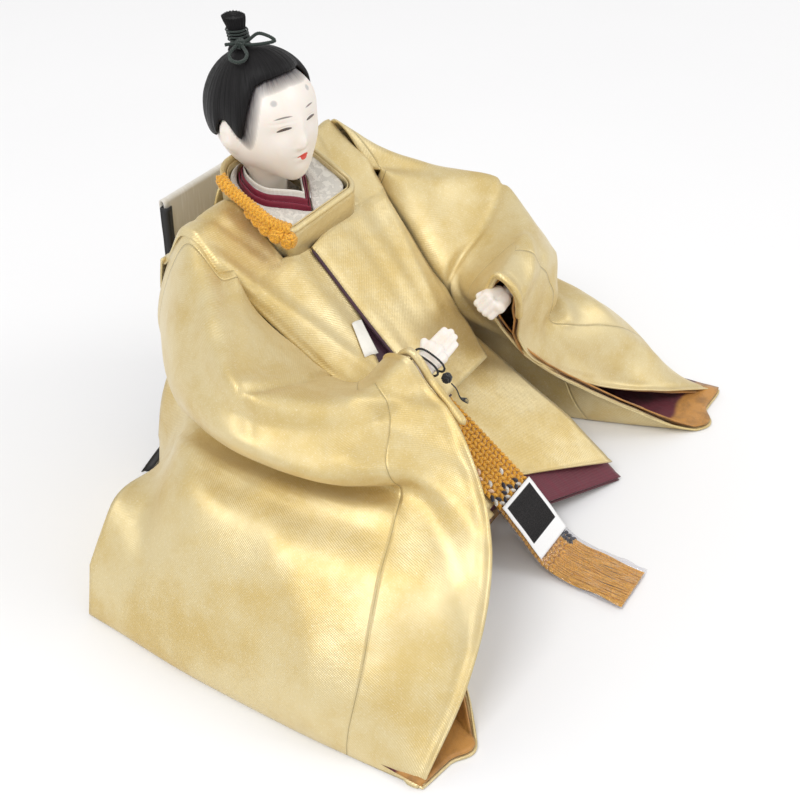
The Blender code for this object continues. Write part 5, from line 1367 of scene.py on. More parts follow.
def film_piece(places, material):
    """The clear sleeve over the sash's end: a flattened tube, crinkled, open at its far end."""
    room = FILM_ROOM + FILM_WALL
    left, right = SASH_SIDES[0] - room, SASH_SIDES[1] + room
    top, bottom = SASH_THICKNESS + room, -room * 0.7
    start, end = length_at(places, -0.1290), places[-1][0]
    middle, half = 0.5 * (left + right), 0.5 * (right - left)

    def place(column, along):
        turn = 2.0 * pi * column
        cosine, sine = cos(turn), sin(turn)
        x = middle + half * copysign(abs(cosine) ** FILM_SQUARE, cosine)
        level = 0.5 * (top + bottom) + 0.5 * (top - bottom) * copysign(abs(sine) ** 0.5, sine)
        return on_sash(places, x, along, level)[0]

    def lift(column, along, point):
        loose = smooth_step(0.010, 0.060, along - start)
        upper = smooth_step(0.0, 0.25, sin(2.0 * pi * column))
        return upper * loose * (
            0.00035 + 0.0006 * noise(point * 150.0) + 0.0003 * noise(point * 420.0)
        )

    obj = cloth_piece(
        "film_sleeve_clear", even(0.0, 1.0, 72), even(start, end, 90), place, material, None, True, lift
    )
    return wall(obj, FILM_WALL * 0.5, 0.0)


LABEL_Y = (-0.1295, -0.1515)


def label_piece(places, material):
    """The bare paper label stuck on the film."""
    room = FILM_ROOM + FILM_WALL
    start, end = (length_at(places, y) for y in LABEL_Y)
    left, right = SASH_SIDES[0] + 0.0002, SASH_SIDES[1] - 0.0002

    def place(across, down):
        x, along = left + (right - left) * across, start + (end - start) * (1.0 - down)
        return on_sash(places, x, along, SASH_THICKNESS + room + 0.0007)[0]

    return cloth_piece(
        "label_sticker", even(0.0, 1.0, 24), even(0.0, 1.0, 24), place, material, 0.00018, uv_name="print"
    )


# Collars

COLLAR_HALF, COLLAR_FRONT_Y, COLLAR_BACK_Y = 0.0268, -0.0190, 0.0250
COLLAR_CORNER, COLLAR_REAR_CORNER = 0.0080, 0.0150
COLLAR_OUT = 0.0042
COLLAR_TOP_Z, COLLAR_TILT = 0.1431, 0.465
COLLAR_APEX, COLLAR_NAPE = (-0.0090, 0.1500), (0.0224, 0.1585)
NAPE_SPREAD = 0.52
V_OUTLINE = (
    (0.0, 1.0), (0.30, 0.74), (0.62, 0.50), (0.90, 0.26), (1.0, 0.0), (0.97, -0.25), (0.80, -0.62),
    (0.45, -0.90), (0.0, -1.0),
)
NECK_COLLAR_HALF = 0.0128
COLLAR_STEPS = 6


def rounded_box(half_x, low_y, high_y, corner, rear, sides=9):
    """Points of a rounded rectangle, anticlockwise from above, starting on its left side."""
    ring = []
    corners = (
        (half_x - rear, high_y - rear, 0.0, rear),
        (rear - half_x, high_y - rear, 0.5, rear),
        (corner - half_x, low_y + corner, 1.0, corner),
        (half_x - corner, low_y + corner, 1.5, corner),
    )
    for centre_x, centre_y, quarter, radius in corners:
        for side in range(sides):
            angle = pi * (quarter + 0.5 * side / (sides - 1))
            ring.append(
                Vector((centre_x + radius * cos(angle), centre_y + radius * sin(angle), 0.0))
            )
    return ring


def collar_level(at_front, y):
    return at_front + COLLAR_TILT * (y - COLLAR_FRONT_Y)


def collar_ring(inset, drop):
    """The round collar's ring, inset from its outside and dropped below its top."""
    corners = (COLLAR_CORNER - inset, COLLAR_REAR_CORNER - inset)
    ring = rounded_box(COLLAR_HALF - inset, COLLAR_FRONT_Y + inset, COLLAR_BACK_Y - inset, *corners)
    for point in ring:
        point.x += COLLAR_OUT * smooth_step(-COLLAR_HALF, COLLAR_HALF, point.x)
        point.z = collar_level(COLLAR_TOP_Z, point.y) - drop
    return ring


def ringed_piece(name, profile, ring_of, material):
    """A closed band through rings, one for each (inset, drop) of its closed profile."""
    rings = [ring_of(*pair) for pair in profile + profile[:1]]
    count = len(rings[0])

    def place(column, row):
        return rings[int(row)][int(column) % count]

    return cloth_piece(name, list(range(count + 1)), list(range(len(rings))), place, material, loop=True)


ROBE_COLLAR_PROFILE = (
    (0.0, 0.0145), (-0.0001, 0.0070), (-0.0002, 0.0040), (-0.0002, 0.0026), (0.0001, 0.0021),
    (0.0001, 0.0018), (-0.0003, 0.0013),
    (-0.0002, 0.0006), (0.0003, 0.0001), (0.0010, -0.0002), (0.0016, 0.0000), (0.0020, 0.0005),
    (0.0022, 0.0013), (0.0022, 0.0040),
    (0.0022, 0.0145),
)
RIM_PROFILE = (
    (0.0025, 0.0090), (0.0025, 0.0020), (0.0026, 0.0011), (0.0029, 0.0007), (0.0032, 0.0011),
    (0.0033, 0.0020), (0.0033, 0.0090),
)


def neck_ring(expand, drop):
    """A V-shaped collar line from apex to nape and back, sharp at its apex."""
    apex_z, nape_z = COLLAR_APEX[1] - 0.0033 * drop, COLLAR_NAPE[1] - 0.0013 * drop
    middle_y, half_y = 0.5 * (COLLAR_APEX[0] + COLLAR_NAPE[0]), 0.5 * (COLLAR_NAPE[0] - COLLAR_APEX[0])
    half = []
    for x_share, y_share in V_OUTLINE:
        spread = expand if y_share > 0 else NAPE_SPREAD * expand
        half.append(
            Vector((x_share * (NECK_COLLAR_HALF + expand), middle_y - y_share * (half_y + spread), 0.0))
        )
    half = smooth_path(half, COLLAR_STEPS)
    low, high = half[0].y, half[-1].y
    for point in half:
        part = min(max((point.y - low) / (high - low), 0.0), 1.0)
        point.z = apex_z + (nape_z - apex_z) * part**0.8
    return half + [Vector((-p.x, p.y, p.z)) for p in half[-2:0:-1]]


NECK_COLLAR_STEP, NECK_COLLAR_RUN = 0.0017, 0.0072


def neck_collar_piece(name, drop, material, thickness=0.0006):
    """A folded silk band: its top edge is a soft roll, and it leans out a little below."""
    top = neck_ring(NECK_COLLAR_STEP * drop, drop)
    bottom = [
        point - Vector((0.0, 0.0, NECK_COLLAR_RUN))
        for point in neck_ring(NECK_COLLAR_STEP * drop + 0.0014, drop)
    ]
    count = len(top)

    def place(column, row):
        index = int(column) % count
        return top[index].lerp(bottom[index], row)

    def lift(column, row, point):
        return 0.00022 * hump(row, 0.10, 0.10) - 0.00012 * hump(row, 0.34, 0.06) + 0.00010 * noise(
            point * 220.0
        )

    return cloth_piece(
        name, list(range(count + 1)), even(0.0, 1.0, 14), place, material, thickness, True, lift, True
    )


FAN_POWER, FAN_REAR_POWER = 5.0, 3.0
FAN_INSET = 0.0032


def fan_ring(inner):
    """Points on the inside of the round collar, one for each point of a collar line."""
    middle = Vector((0.0, 0.5 * (COLLAR_FRONT_Y + COLLAR_BACK_Y), 0.0))
    half_x, half_y = COLLAR_HALF - FAN_INSET, 0.5 * (COLLAR_BACK_Y - COLLAR_FRONT_Y) - FAN_INSET
    ring = []
    for point in inner:
        away = Vector((point.x, point.y - middle.y, 0.0)).normalized()
        power = FAN_POWER if away.y < 0.0 else FAN_REAR_POWER
        reach = (abs(away.x / half_x) ** power + abs(away.y / half_y) ** power) ** (-1.0 / power)
        spot = middle + away * reach
        spot.x += COLLAR_OUT * smooth_step(-half_x, half_x, spot.x)
        ring.append(Vector((spot.x, spot.y, collar_level(COLLAR_TOP_Z - 0.0030, spot.y))))
    return ring


def figured_collar_piece(material):
    """The figured white under-robe between the silk collars and the round one."""
    top = neck_ring(NECK_COLLAR_STEP * 3, 3)
    rim = fan_ring(top)
    count = len(top)

    def place(column, row):
        index = int(column) % count
        spot = top[index].lerp(rim[index], row)
        spot.z += 0.0006 * sin(pi * row)
        return spot

    def lift(column, row, point):
        return 0.0002 * noise(point * 140.0) - 0.0002 * hump(row, 0.5, 0.04)

    return cloth_piece(
        "figured_collar", list(range(count + 1)), even(0.0, 1.0, 14), place, material, 0.0006, True, lift,
        True,
    )


COLLAR_CORD = ((-0.93, 0.52), (-0.99, 0.34), (-1.0, 0.10), (-1.0, -0.30), (-0.99, -0.62), (-0.86, -0.90))
COLLAR_CORD_RADIUS = 0.0026
COLLAR_KNOTS = (
    (-1.0, -0.18, 0.0029), (-1.0, -0.36, 0.0033), (-1.0, -0.54, 0.0037), (-0.99, -0.74, 0.0037),
    (-0.92, -0.93, 0.0038),
)


def beside_collar(x_share, y_share, away, sink=0.0):
    middle_y, half_y = 0.5 * (COLLAR_FRONT_Y + COLLAR_BACK_Y), 0.5 * (COLLAR_BACK_Y - COLLAR_FRONT_Y)
    y = middle_y + y_share * (half_y + away)
    return Vector((x_share * (COLLAR_HALF + away), y, collar_level(COLLAR_TOP_Z, y) + away - sink))


def collar_braid(material):
    """The round plait that closes the collar: eight strands, four each way."""
    away = COLLAR_CORD_RADIUS + 0.0003
    path = smooth_path([beside_collar(x, y, away) for x, y in COLLAR_CORD], 26)
    found = wound(path, 4, 0.00200, 0.0076, wobble=0.16)
    found += wound(path, 4, 0.00200, 0.0076, 0.4, direction=-1.0, wobble=-0.16)
    return strands("collar_braid", found, 0.00090, material)


def knot_ball(name, centre, radius, strand, material, turns=5):
    """A woven button knot: rounds of cord laid about three axes."""
    paths = []
    for axis in (Vector((1.0, 0.25, 0.1)), Vector((-0.2, 1.0, 0.2)), Vector((0.1, -0.3, 1.0))):
        axis.normalize()
        side = axis.orthogonal().normalized()
        other = axis.cross(side)
        for ring in range(turns):
            level = (ring / (turns - 1) - 0.5) * 1.5
            reach = sqrt(max(1.0 - level * level, 0.05)) * (radius - strand)
            line = []
            for step in range(25):
                turn = 2.0 * pi * step / 24
                wave = 0.10 * cos(4.0 * turn + ring * pi)
                line.append(
                    centre + (side * cos(turn) + other * sin(turn)) * (reach * (1.0 + wave))
                    + axis * (level * radius)
                )
            paths.append(line)
    return strands(name, paths, strand, material)


# Head, hair and hands

NECK_Y, NECK_RADIUS, NECK_BOTTOM_Z = 0.0115, 0.0086, 0.1410
HEAD_CENTRE = Vector((0.0, 0.011, 0.1835))
FACE_TURN = -9.5
HEAD_SIDE, HEAD_FRONT, HEAD_BACK, HEAD_UP, HEAD_DOWN = 0.0203, 0.0240, 0.0262, 0.0266, 0.0274
ROD_BORE = 0.0032
ROD_IN_HEAD = 0.020
HAIRLINE = (
    (0, 32), (19, 33), (40, 35), (53, 40), (58, 52), (63, 73), (67, 90), (70.5, 99), (75, 97), (84, 85),
    (94, 80), (101, 83), (107, 100), (120, 108), (146, 114), (180, 117),
)
FAR_CORNER = 10.0
FEATHER = ((0, 13), (50, 15), (64, 17), (72, 10), (80, 4), (99, 0.5))
HAIR_ROOM, HAIR_THICKNESS, HAIR_EDGE = 0.0006, 0.0036, 0.0005

# Reliefs on the head: share of the depth, then angle round, angle down, width, height and, where it is not 2, power
SKULL_RELIEFS = (
    (0.26, 0, 145, 34, 20),
    (0.080, 34, 116, 22, 24),
    (0.080, -34, 116, 22, 24),
    (0.0925, 48, 66, 24, 22),
    (0.0925, -48, 66, 24, 22),
    (-0.03, 75, 150, 40, 26),
    (-0.03, -75, 150, 40, 26),
)
FACE_RELIEFS = (
    (0.10, 0, 103, 5.5, 8.0),
    (0.030, 0, 108, 9.5, 3.2),
    (0.040, 0, 88, 5.2, 12),
    (0.026, 2, 117.4, 9, 2.4),
    (0.026, 3, 122.4, 7, 2.6),
    (-0.018, 2, 119.8, 11, 0.9),
    (-0.014, 1, 112.5, 2.5, 2.6),
    (-0.018, 3, 128.0, 9, 3.0),
)
PAIRED_RELIEFS = (
    (-0.035, 21, 88, 12, 8),
    (0.014, 22.5, 82.5, 11, 5.0),
    (-0.010, 22.5, 78.0, 12, 1.4),
    (0.14, 94, 103, 12, 18, 3.0),
    (-0.060, 93, 101, 6, 10),
    (0.035, 91, 105, 3, 5),
)


def bump(theta, phi, at_theta, at_phi, wide, tall, power=2.0):
    return exp(-(abs((theta - at_theta) / wide) ** power) - abs((phi - at_phi) / tall) ** power)


def head_direction(theta, phi):
    turn, tip = radians(theta), radians(phi)
    return Vector((sin(turn) * sin(tip), -cos(turn) * sin(tip), cos(tip)))


def head_radius(theta, phi):
    """Distance of the skin from the head's centre; theta runs from the front, phi from the top."""
    turned = theta + FACE_TURN
    x, y, z = head_direction(turned, phi)
    depth = HEAD_FRONT if y < 0 else HEAD_BACK
    height = HEAD_UP if z > 0 else HEAD_DOWN
    radius = 1.0 / sqrt((x / HEAD_SIDE) ** 2 + (y / depth) ** 2 + (z / height) ** 2)
    share = sum(size * bump(turned, phi, *place) for size, *place in SKULL_RELIEFS)
    share += sum(size * bump(theta, phi, *place) for size, *place in FACE_RELIEFS)
    for side in (-1, 1):
        for size, at_theta, *place in PAIRED_RELIEFS:
            share += size * bump(theta, phi, side * at_theta, *place)
    return radius + share * HEAD_FRONT


def hair_turn(theta):
    """Where the hairline's table is read: on the left side its corner sits further round."""
    shift = FAR_CORNER * smooth_step(30, 55, theta) * smooth_step(160, 120, theta)
    return abs(theta) - shift


def head_point(theta, phi, extra=0.0):
    return HEAD_CENTRE + head_direction(theta + FACE_TURN, phi) * (head_radius(theta, phi) + extra)


FACE_CROWD = 0.45


def neck_profile():
    """Radius and height of the neck below the chin's underside, ending inside the rod's bore."""
    return (
        (0.0102, 0.1580), (0.0093, 0.1555), (NECK_RADIUS, 0.1520), (NECK_RADIUS, 0.1450),
        (NECK_RADIUS - 0.0002, NECK_BOTTOM_Z + 0.0004),
        (NECK_RADIUS - 0.0007, NECK_BOTTOM_Z), (ROD_BORE, NECK_BOTTOM_Z),
        (ROD_BORE, NECK_BOTTOM_Z + 0.010), (ROD_BORE, NECK_BOTTOM_Z + ROD_IN_HEAD),
        (0.00001, NECK_BOTTOM_Z + ROD_IN_HEAD),
    )


def face_columns():
    angles = []
    for turn in even(-pi, pi, 168):
        angles.append(degrees(turn - FACE_CROWD * sin(turn)))
    return angles


def head_piece(material):
    """The painted head, from its crown down to the rod's bore."""
    face_rows = even(0.4, 150.0, 150)
    neck = neck_profile()
    rows = face_rows + [200.0 + index for index in range(len(neck))]

    def place(theta, row):
        if row < 190.0:
            return head_point(theta, row)
        radius, z = neck[int(row - 200.0)]
        turn = radians(theta + FACE_TURN)
        return Vector((radius * sin(turn), NECK_Y - radius * cos(turn), z))

    def near_hair(theta, row):
        turn = hair_turn(theta)
        if row < interpolate(HAIRLINE, turn):
            return 1.0
        away = min(segment_distance(start, end, (turn, row)) for start, end in zip(HAIRLINE, HAIRLINE[1:12]))
        return max(1.0 - away / interpolate(FEATHER, turn), 0.0)

    return cloth_piece(
        "head_painted", face_columns(), rows, place, material, loop=True, flip=True,
        marks=("hair_near", near_hair), uv_name="face",
    )


KNOT_Y, KNOT_WAIST, KNOT_TOP_Z, KNOT_LEAN = 0.0215, 0.0040, 0.2256, 0.0030
KNOT_PROFILE = (
    (0.0, 1.30), (0.10, 1.05), (0.22, 0.96), (0.50, 0.94), (0.62, 1.00), (0.85, 1.20), (1.0, 1.28)
)


def hair_point(theta, part):
    """A place on the hair's outside; part runs from the crown to the hairline."""
    phi = interpolate(HAIRLINE, hair_turn(theta)) * part
    thick = HAIR_EDGE + (HAIR_THICKNESS - HAIR_EDGE) * sqrt(max(1.0 - part**3, 0.0))
    return head_point(theta, phi, HAIR_ROOM + thick)


def comb(piece_mesh, centre):
    """A UV map that follows the strands: angle round the topknot, then distance from it."""
    layer = piece_mesh.uv_layers["combed"]
    for polygon in piece_mesh.polygons:
        turns = []
        for index in polygon.loop_indices:
            away = piece_mesh.vertices[piece_mesh.loops[index].vertex_index].co - centre
            turns.append((index, atan2(away.x, -away.y) / (2.0 * pi), away.length))
        base = turns[0][1]
        for index, turn, length in turns:
            turn += round(base - turn)
            layer.data[index].uv = (turn, length * 6.0)


def hair_piece(material):
    """The combed hair: ridged locks that run up to the topknot and thin out at the hairline."""
    parts = [step / 46 for step in range(1, 47)]
    rows = [0.004] + parts + [1.0 + step / 10 for step in range(1, 11)]
    centre = Vector((0.0, KNOT_Y, hair_foot() + 0.004))

    def place(theta, part):
        if part <= 1.0:
            point = hair_point(theta, part)
            away = point - centre
            turn = atan2(away.x, -away.y)
            ridge = sin(turn * 46.0) * 0.5 + sin(turn * 91.0 + 1.3) * 0.3
            return point + (point - HEAD_CENTRE).normalized() * (
                0.00011 * ridge * smooth_step(0.10, 0.35, part)
            )
        return head_point(theta, interpolate(HAIRLINE, hair_turn(theta)) * max(2.0 - part, 0.02), HAIR_ROOM)

    columns = even(-180.0, 180.0, 220)
    obj = cloth_piece("combed_hair", columns, rows, place, material, loop=True, flip=True, uv_name="combed")
    comb(obj.data, centre)
    return obj


def hair_foot():
    """Height of the hair's surface below the topknot."""
    low, high = 0.0, 80.0
    for _ in range(30):
        phi = 0.5 * (low + high)
        if head_point(180.0, phi, HAIR_ROOM + HAIR_THICKNESS).y < KNOT_Y:
            low = phi
        else:
            high = phi
    return head_point(180.0, low, HAIR_ROOM + HAIR_THICKNESS).z


def knot_centre(foot, part):
    return Vector((0.0, KNOT_Y + KNOT_LEAN * part, foot + (KNOT_TOP_Z - foot) * part))


def topknot_piece(material):
    """The bound lock, ribbed with strands, with a cut top that dips in the middle."""
    levels = [(part, interpolate(KNOT_PROFILE, part)) for part in even(0.0, 1.0, 30)]
    levels[0] = (-0.10, 1.5)
    levels += [(1.0, 1.2), (0.985, 0.8), (0.975, 0.4), (0.97, 0.01)]
    foot = hair_foot()

    def place(column, row):
        part, share = levels[int(row)]
        turn = 2.0 * pi * column
        rib = 1.0 + 0.022 * sin(31.0 * turn) + 0.015 * sin(53.0 * turn + 2.0)
        flare = 1.0 + 0.05 * sin(3.0 * turn + 1.0) * smooth_step(0.6, 1.0, part)
        reach = KNOT_WAIST * share * rib * flare
        rough = 0.0002 * sin(23.0 * turn) * smooth_step(0.95, 1.0, part) * smooth_step(0.0, 0.6, share)
        return knot_centre(foot, part) + Vector((reach * sin(turn), -reach * cos(turn), rough))

    columns, rows = even(0.0, 1.0, 150), list(range(len(levels)))
    return cloth_piece("topknot_lock", columns, rows, place, material, loop=True, uv_name="combed")


KNOT_CORD_PITCH, KNOT_CORD_RADIUS, KNOT_CORD_TURNS = 0.00135, 0.00045, 4
BOW_RADIUS = 0.00075
BOW_TIE = Vector((-0.0041, KNOT_Y - 0.0032, 0.2156))
BOW_DOWN, BOW_ACROSS, BOW_RISE = Vector((-0.80, -0.50, -0.29)), Vector((0.546, -0.838, 0.0)), Vector(
    (0.52, 0.34, 0.78)
)
# Millimetres down the hair and across, then across and up
BOW_OVAL = (
    (0, 0), (3.0, -2.4), (7.5, -3.9), (11.0, -2.8), (12.4, 0), (11.0, 2.8), (7.0, 3.6), (3.0, 1.8),
    (0.3, 0.3),
)
BOW_LONG = ((0, 0), (3.5, 1.5), (7.6, 4.4), (12.0, 3.4), (14.9, 1.3), (11.0, 0.2), (5.0, -0.5), (0.3, -0.2))
BOW_END = ((0, 0), (-3.0, -0.1), (-6.5, -0.5))


def topknot_coil(material):
    """The dark green cord wound round the topknot, spun from three strands."""
    foot = hair_foot()
    path = []
    for step in range(60 * KNOT_CORD_TURNS + 1):
        turn = 2.0 * pi * step / 60
        part = 0.20 + KNOT_CORD_PITCH * step / 60 / (KNOT_TOP_Z - foot)
        radius = KNOT_WAIST * interpolate(KNOT_PROFILE, part) + KNOT_CORD_RADIUS + 0.0003
        path.append(
            knot_centre(foot, part) + Vector((radius * sin(turn), -radius * cos(turn), 0.0))
        )
    return strands("topknot_coil", wound(path, 3, 0.00024, 0.0016), 0.00025, material)


def bow_path(table, along, aside):
    """A smooth path from the tie that stays clear of the hair."""
    path = []
    for one, other in table:
        away = BOW_TIE + (along * one + aside * other) * MM - HEAD_CENTRE
        theta, phi = degrees(atan2(away.x, -away.y)), degrees(acos(away.z / away.length))
        least = head_radius(theta - FACE_TURN, phi) + HAIR_ROOM + HAIR_THICKNESS + BOW_RADIUS
        path.append(HEAD_CENTRE + away * max(1.0, least / away.length))
    return smooth_path(path, 16)


def bow_pieces(material):
    long = wound(bow_path(BOW_LONG, BOW_ACROSS, BOW_RISE), 3, 0.00040, 0.0026)
    oval = wound(bow_path(BOW_OVAL, BOW_DOWN, BOW_ACROSS), 3, 0.00040, 0.0026)
    oval += wound(bow_path(BOW_END, BOW_ACROSS, BOW_RISE), 3, 0.00040, 0.0026)
    made = [
        strands("bow_front_loop", long, 0.00042, material),
        strands("bow_side_loop", oval, 0.00042, material),
    ]
    made.append(knot_ball("bow_tie", BOW_TIE, 0.0021, 0.00055, material, 4))
    return made


HAND_LENGTH = 0.0375
LEFT_WRIST, RIGHT_WRIST = Vector((0.52, -0.975, 1.045)) * ROBE_UNIT, Vector((-0.52, -0.975, 1.07)) * ROBE_UNIT
LEFT_AXIS, RIGHT_AXIS = Vector((-1.0, 0.12, 0.0)).normalized(), Vector((1.0, 0.0, 0.13)).normalized()
LEFT_BACK, RIGHT_BACK = Vector((0.10, -0.52, 0.85)), Vector((-0.10, -0.52, 0.85))
WRIST_SHARE = 0.095
HAND_GAP = 0.0003
FLAT_HAND = (
    ((0.00, 0.0, 0.0), (0.34, 0.0, 0.0), 0.095),
    ((0.28, 0.06, 0.0), (0.60, 0.10, 0.0), 0.072),
    ((0.28, 0.0, 0.005), (0.62, 0.0, 0.005), 0.080),
    ((0.28, -0.06, 0.0), (0.58, -0.10, 0.0), 0.070),
    ((0.58, 0.112, 0.0), (0.915, 0.100, -0.010), 0.045),
    ((0.60, 0.036, 0.004), (0.955, 0.030, -0.006), 0.046),
    ((0.59, -0.040, 0.002), (0.935, -0.040, -0.010), 0.045),
    ((0.57, -0.112, -0.004), (0.87, -0.108, -0.020), 0.041),
    ((0.47, 0.11, -0.01), (0.60, 0.185, -0.02), 0.052),
)
FIST = (
    ((0.00, 0.0, 0.0), (0.34, 0.0, 0.0), 0.095),
    ((0.36, 0.05, 0.0), (0.52, 0.09, 0.02), 0.105),
    ((0.36, -0.05, 0.0), (0.52, -0.09, 0.02), 0.100),
    ((0.56, 0.120, 0.045), (0.655, 0.120, -0.080), 0.052),
    ((0.57, 0.040, 0.050), (0.670, 0.040, -0.085), 0.053),
    ((0.56, -0.040, 0.045), (0.655, -0.040, -0.090), 0.052),
    ((0.54, -0.115, 0.035), (0.630, -0.115, -0.090), 0.048),
    ((0.655, 0.120, -0.080), (0.520, 0.110, -0.130), 0.050),
    ((0.670, 0.040, -0.085), (0.530, 0.030, -0.140), 0.050),
    ((0.655, -0.040, -0.090), (0.520, -0.045, -0.140), 0.050),
    ((0.630, -0.115, -0.090), (0.500, -0.110, -0.130), 0.047),
    ((0.38, 0.14, -0.03), (0.58, 0.175, -0.05), 0.050),
)


def hand_frame(wrist, axis, back):
    """Matrix of a hand: x along the fingers, y towards the thumb, z out of its back."""
    start = wrist + axis * (HAND_LENGTH * WRIST_SHARE + HAND_GAP)
    back = (back - axis * back.dot(axis)).normalized()
    thumb = back.cross(axis) if axis.x > 0 else axis.cross(back)
    return Matrix.Translation(start) @ Matrix((axis, thumb, back)).transposed().to_4x4()


def finger_bone(work, place, start, end, radius):
    start, end = Vector(start) * HAND_LENGTH, Vector(end) * HAND_LENGTH
    thick = radius * HAND_LENGTH
    turn = (end - start).to_track_quat("Z", "Y").to_matrix().to_4x4()
    bmesh.ops.create_cone(
        work, cap_ends=True, segments=20, radius1=thick, radius2=thick * 0.94, depth=(end - start).length,
        matrix=place @ Matrix.Translation((start + end) / 2) @ turn,
    )
    for point, size in ((start, thick), (end, thick * 0.94)):
        bmesh.ops.create_uvsphere(
            work, u_segments=20, v_segments=14, radius=size, matrix=place @ Matrix.Translation(point)
        )


def hand_piece(name, place, table, material):
    """A lacquered hand blended from its finger bones, then smoothed."""
    work = bmesh.new()
    for start, end, radius in table:
        finger_bone(work, place, start, end, radius)
    rough = link_piece(f"{name}_rough", work, material)
    voxels = rough.modifiers.new("voxels", "REMESH")
    voxels.mode = "VOXEL"
    voxels.voxel_size = head_settings().voxel
    calm = rough.modifiers.new("calm", "SMOOTH")
    calm.factor, calm.iterations = 0.5, 5
    mesh = bpy.data.meshes.new_from_object(rough.evaluated_get(bpy.context.evaluated_depsgraph_get()))
    mesh.name = name
    bpy.data.objects.remove(rough)
    mesh.shade_smooth()
    return linked(name, mesh)


CORD_WIDTH = ((0.27, 0.165), (0.34, 0.175), (0.46, 0.205))
HAND_TAIL = ((0.42, -0.370, -0.04), (0.45, -0.46, -0.10), (0.44, -0.56, -0.16), (0.50, -0.64, -0.20))
HAND_KNOT = (0.42, -0.285, -0.02)


def hand_cord_path(place):
    path = []
    for step in range(121):
        share = step / 60
        turn = 2.0 * pi * (share - 0.25)
        cosine, sine = cos(turn), sin(turn)
        reach = (abs(cosine) ** 2.4 + abs(sine) ** 2.4) ** (-1.0 / 2.4)
        along = 0.27 + 0.0040 * share / HAND_LENGTH
        local = Vector((along, interpolate(CORD_WIDTH, along) * cosine * reach, 0.120 * sine * reach))
        path.append(place @ (local * HAND_LENGTH))
    return path


def hand_tail_paths(place):
    """The cord's tail, which fans out into loose threads at its end."""
    middle = smooth_path([place @ (Vector(shares) * HAND_LENGTH) for shares in HAND_TAIL], 8)
    frames = frames_along(middle)
    paths = []
    for thread in range(11):
        turn = 2.0 * pi * thread / 11
        line = []
        for index, (point, (_, side, other)) in enumerate(zip(middle, frames)):
            part = index / (len(middle) - 1)
            spread = 0.00030 + 0.0013 * smooth_step(0.55, 1.0, part)
            line.append(point + side * (spread * cos(turn)) + other * (spread * 0.5 * sin(turn)))
        paths.append(line)
    return paths


# Operators


LAMPS = (("key_lamp", 0.80, (-1.30, -0.10, 1.90)), ("fill_lamp", 0.70, (0.80, -1.50, 1.30)))
LAMP_AIM = (0.0, -0.05, 0.08)
LENS_MM, SENSOR_MM = 54.0, 36.0
CAMERA_PLACE, CAMERA_AIM = (-0.387, -0.3138, 0.417), (0.6565, 0.4280, -0.6211)


def cloth(kind, *values, name=None):
    return finish_once(name or kind.__name__, kind, *values)


class DOLL_OT_stage(bpy.types.Operator):
    """Make the floor, the light and the camera"""

    bl_idname = "doll.stage"
    bl_label = "Stage"

    def execute(self, context):
        scene = context.scene
        stage = scene.doll_stage
        work = bmesh.new()
        bmesh.ops.create_grid(work, x_segments=2, y_segments=2, size=6.0)
        f = Finish("pale_floor")
        cloud = f.noise(f.place("Object"), 3.0, 3.0)
        tint = f.mix(f.span(cloud, 0.3, 0.7), stage.floor, shade(stage.floor, 0.985))
        ground = link_piece("floor", work, f.surface(tint, 0.75, Specular_IOR_Level=0.2))
        world = scene.world or bpy.data.worlds.new("studio")
        scene.world = world
        world.use_nodes = True
        tree = world.node_tree
        tree.nodes.clear()
        out = tree.nodes.new("ShaderNodeOutputWorld")
        light = tree.nodes.new("ShaderNodeBackground")
        light.inputs["Color"].default_value = (1.0, 0.995, 0.985, 1.0)
        light.inputs["Strength"].default_value = stage.sky
        seen = tree.nodes.new("ShaderNodeBackground")
        seen.inputs["Color"].default_value = (*stage.floor, 1.0)
        mixer = tree.nodes.new("ShaderNodeMixShader")
        rays = tree.nodes.new("ShaderNodeLightPath")
        tree.links.new(rays.outputs["Is Camera Ray"], mixer.inputs[0])
        tree.links.new(light.outputs[0], mixer.inputs[1])
        tree.links.new(seen.outputs[0], mixer.inputs[2])
        tree.links.new(mixer.outputs[0], out.inputs[0])
        for (name, size, place), power in zip(LAMPS, (stage.key, stage.fill)):
            lamp = bpy.data.lights.new(name, "AREA")
            lamp.energy = power
            lamp.size = size
            obj = linked(name, lamp)
            obj.location = place
            aim = Vector(LAMP_AIM) - Vector(place)
            obj.rotation_euler = aim.to_track_quat("-Z", "Y").to_euler()
        lens = bpy.data.cameras.new("camera")
        lens.lens, lens.sensor_width = LENS_MM, SENSOR_MM
        camera = linked("camera", lens)
        camera.location = CAMERA_PLACE
        camera.rotation_euler = Vector(CAMERA_AIM).to_track_quat("-Z", "Y").to_euler()
        scene.camera = camera
        scene.view_settings.view_transform = "Standard"
        return {"FINISHED"}


class DOLL_OT_sleeves(bpy.types.Operator):
    """Make both brocade sleeves with their linings and rolled cuffs"""

    bl_idname = "doll.sleeves"
    bl_label = "Sleeves"

    def execute(self, context):
        gold, lined = cloth(gold_brocade), cloth(sleeve_lining_silk)
        seamed = cloth(gold_brocade, "cloth", True, name="gold_brocade_seamed")
        for name, side, own in (("left", 1.0, LEFT_FOLDS), ("right", -1.0, RIGHT_FOLDS)):
            folds = BOTH_FOLDS + own
            outer = sleeve_piece(f"{name}_sleeve_brocade", side, folds, seamed)
            dress(outer, "root", "gold_brocade", f"{name}_sleeve")
            lining = sleeve_lining_piece(f"{name}_sleeve_silk", side, folds, lined)
            dress(lining, "root", "amber_silk", f"{name}_sleeve_lining")
            cuff = cuff_piece(f"{name}_cuff_roll", side, gold)
            dress(cuff, "root", "gold_brocade", f"{name}_cuff")
        return {"FINISHED"}


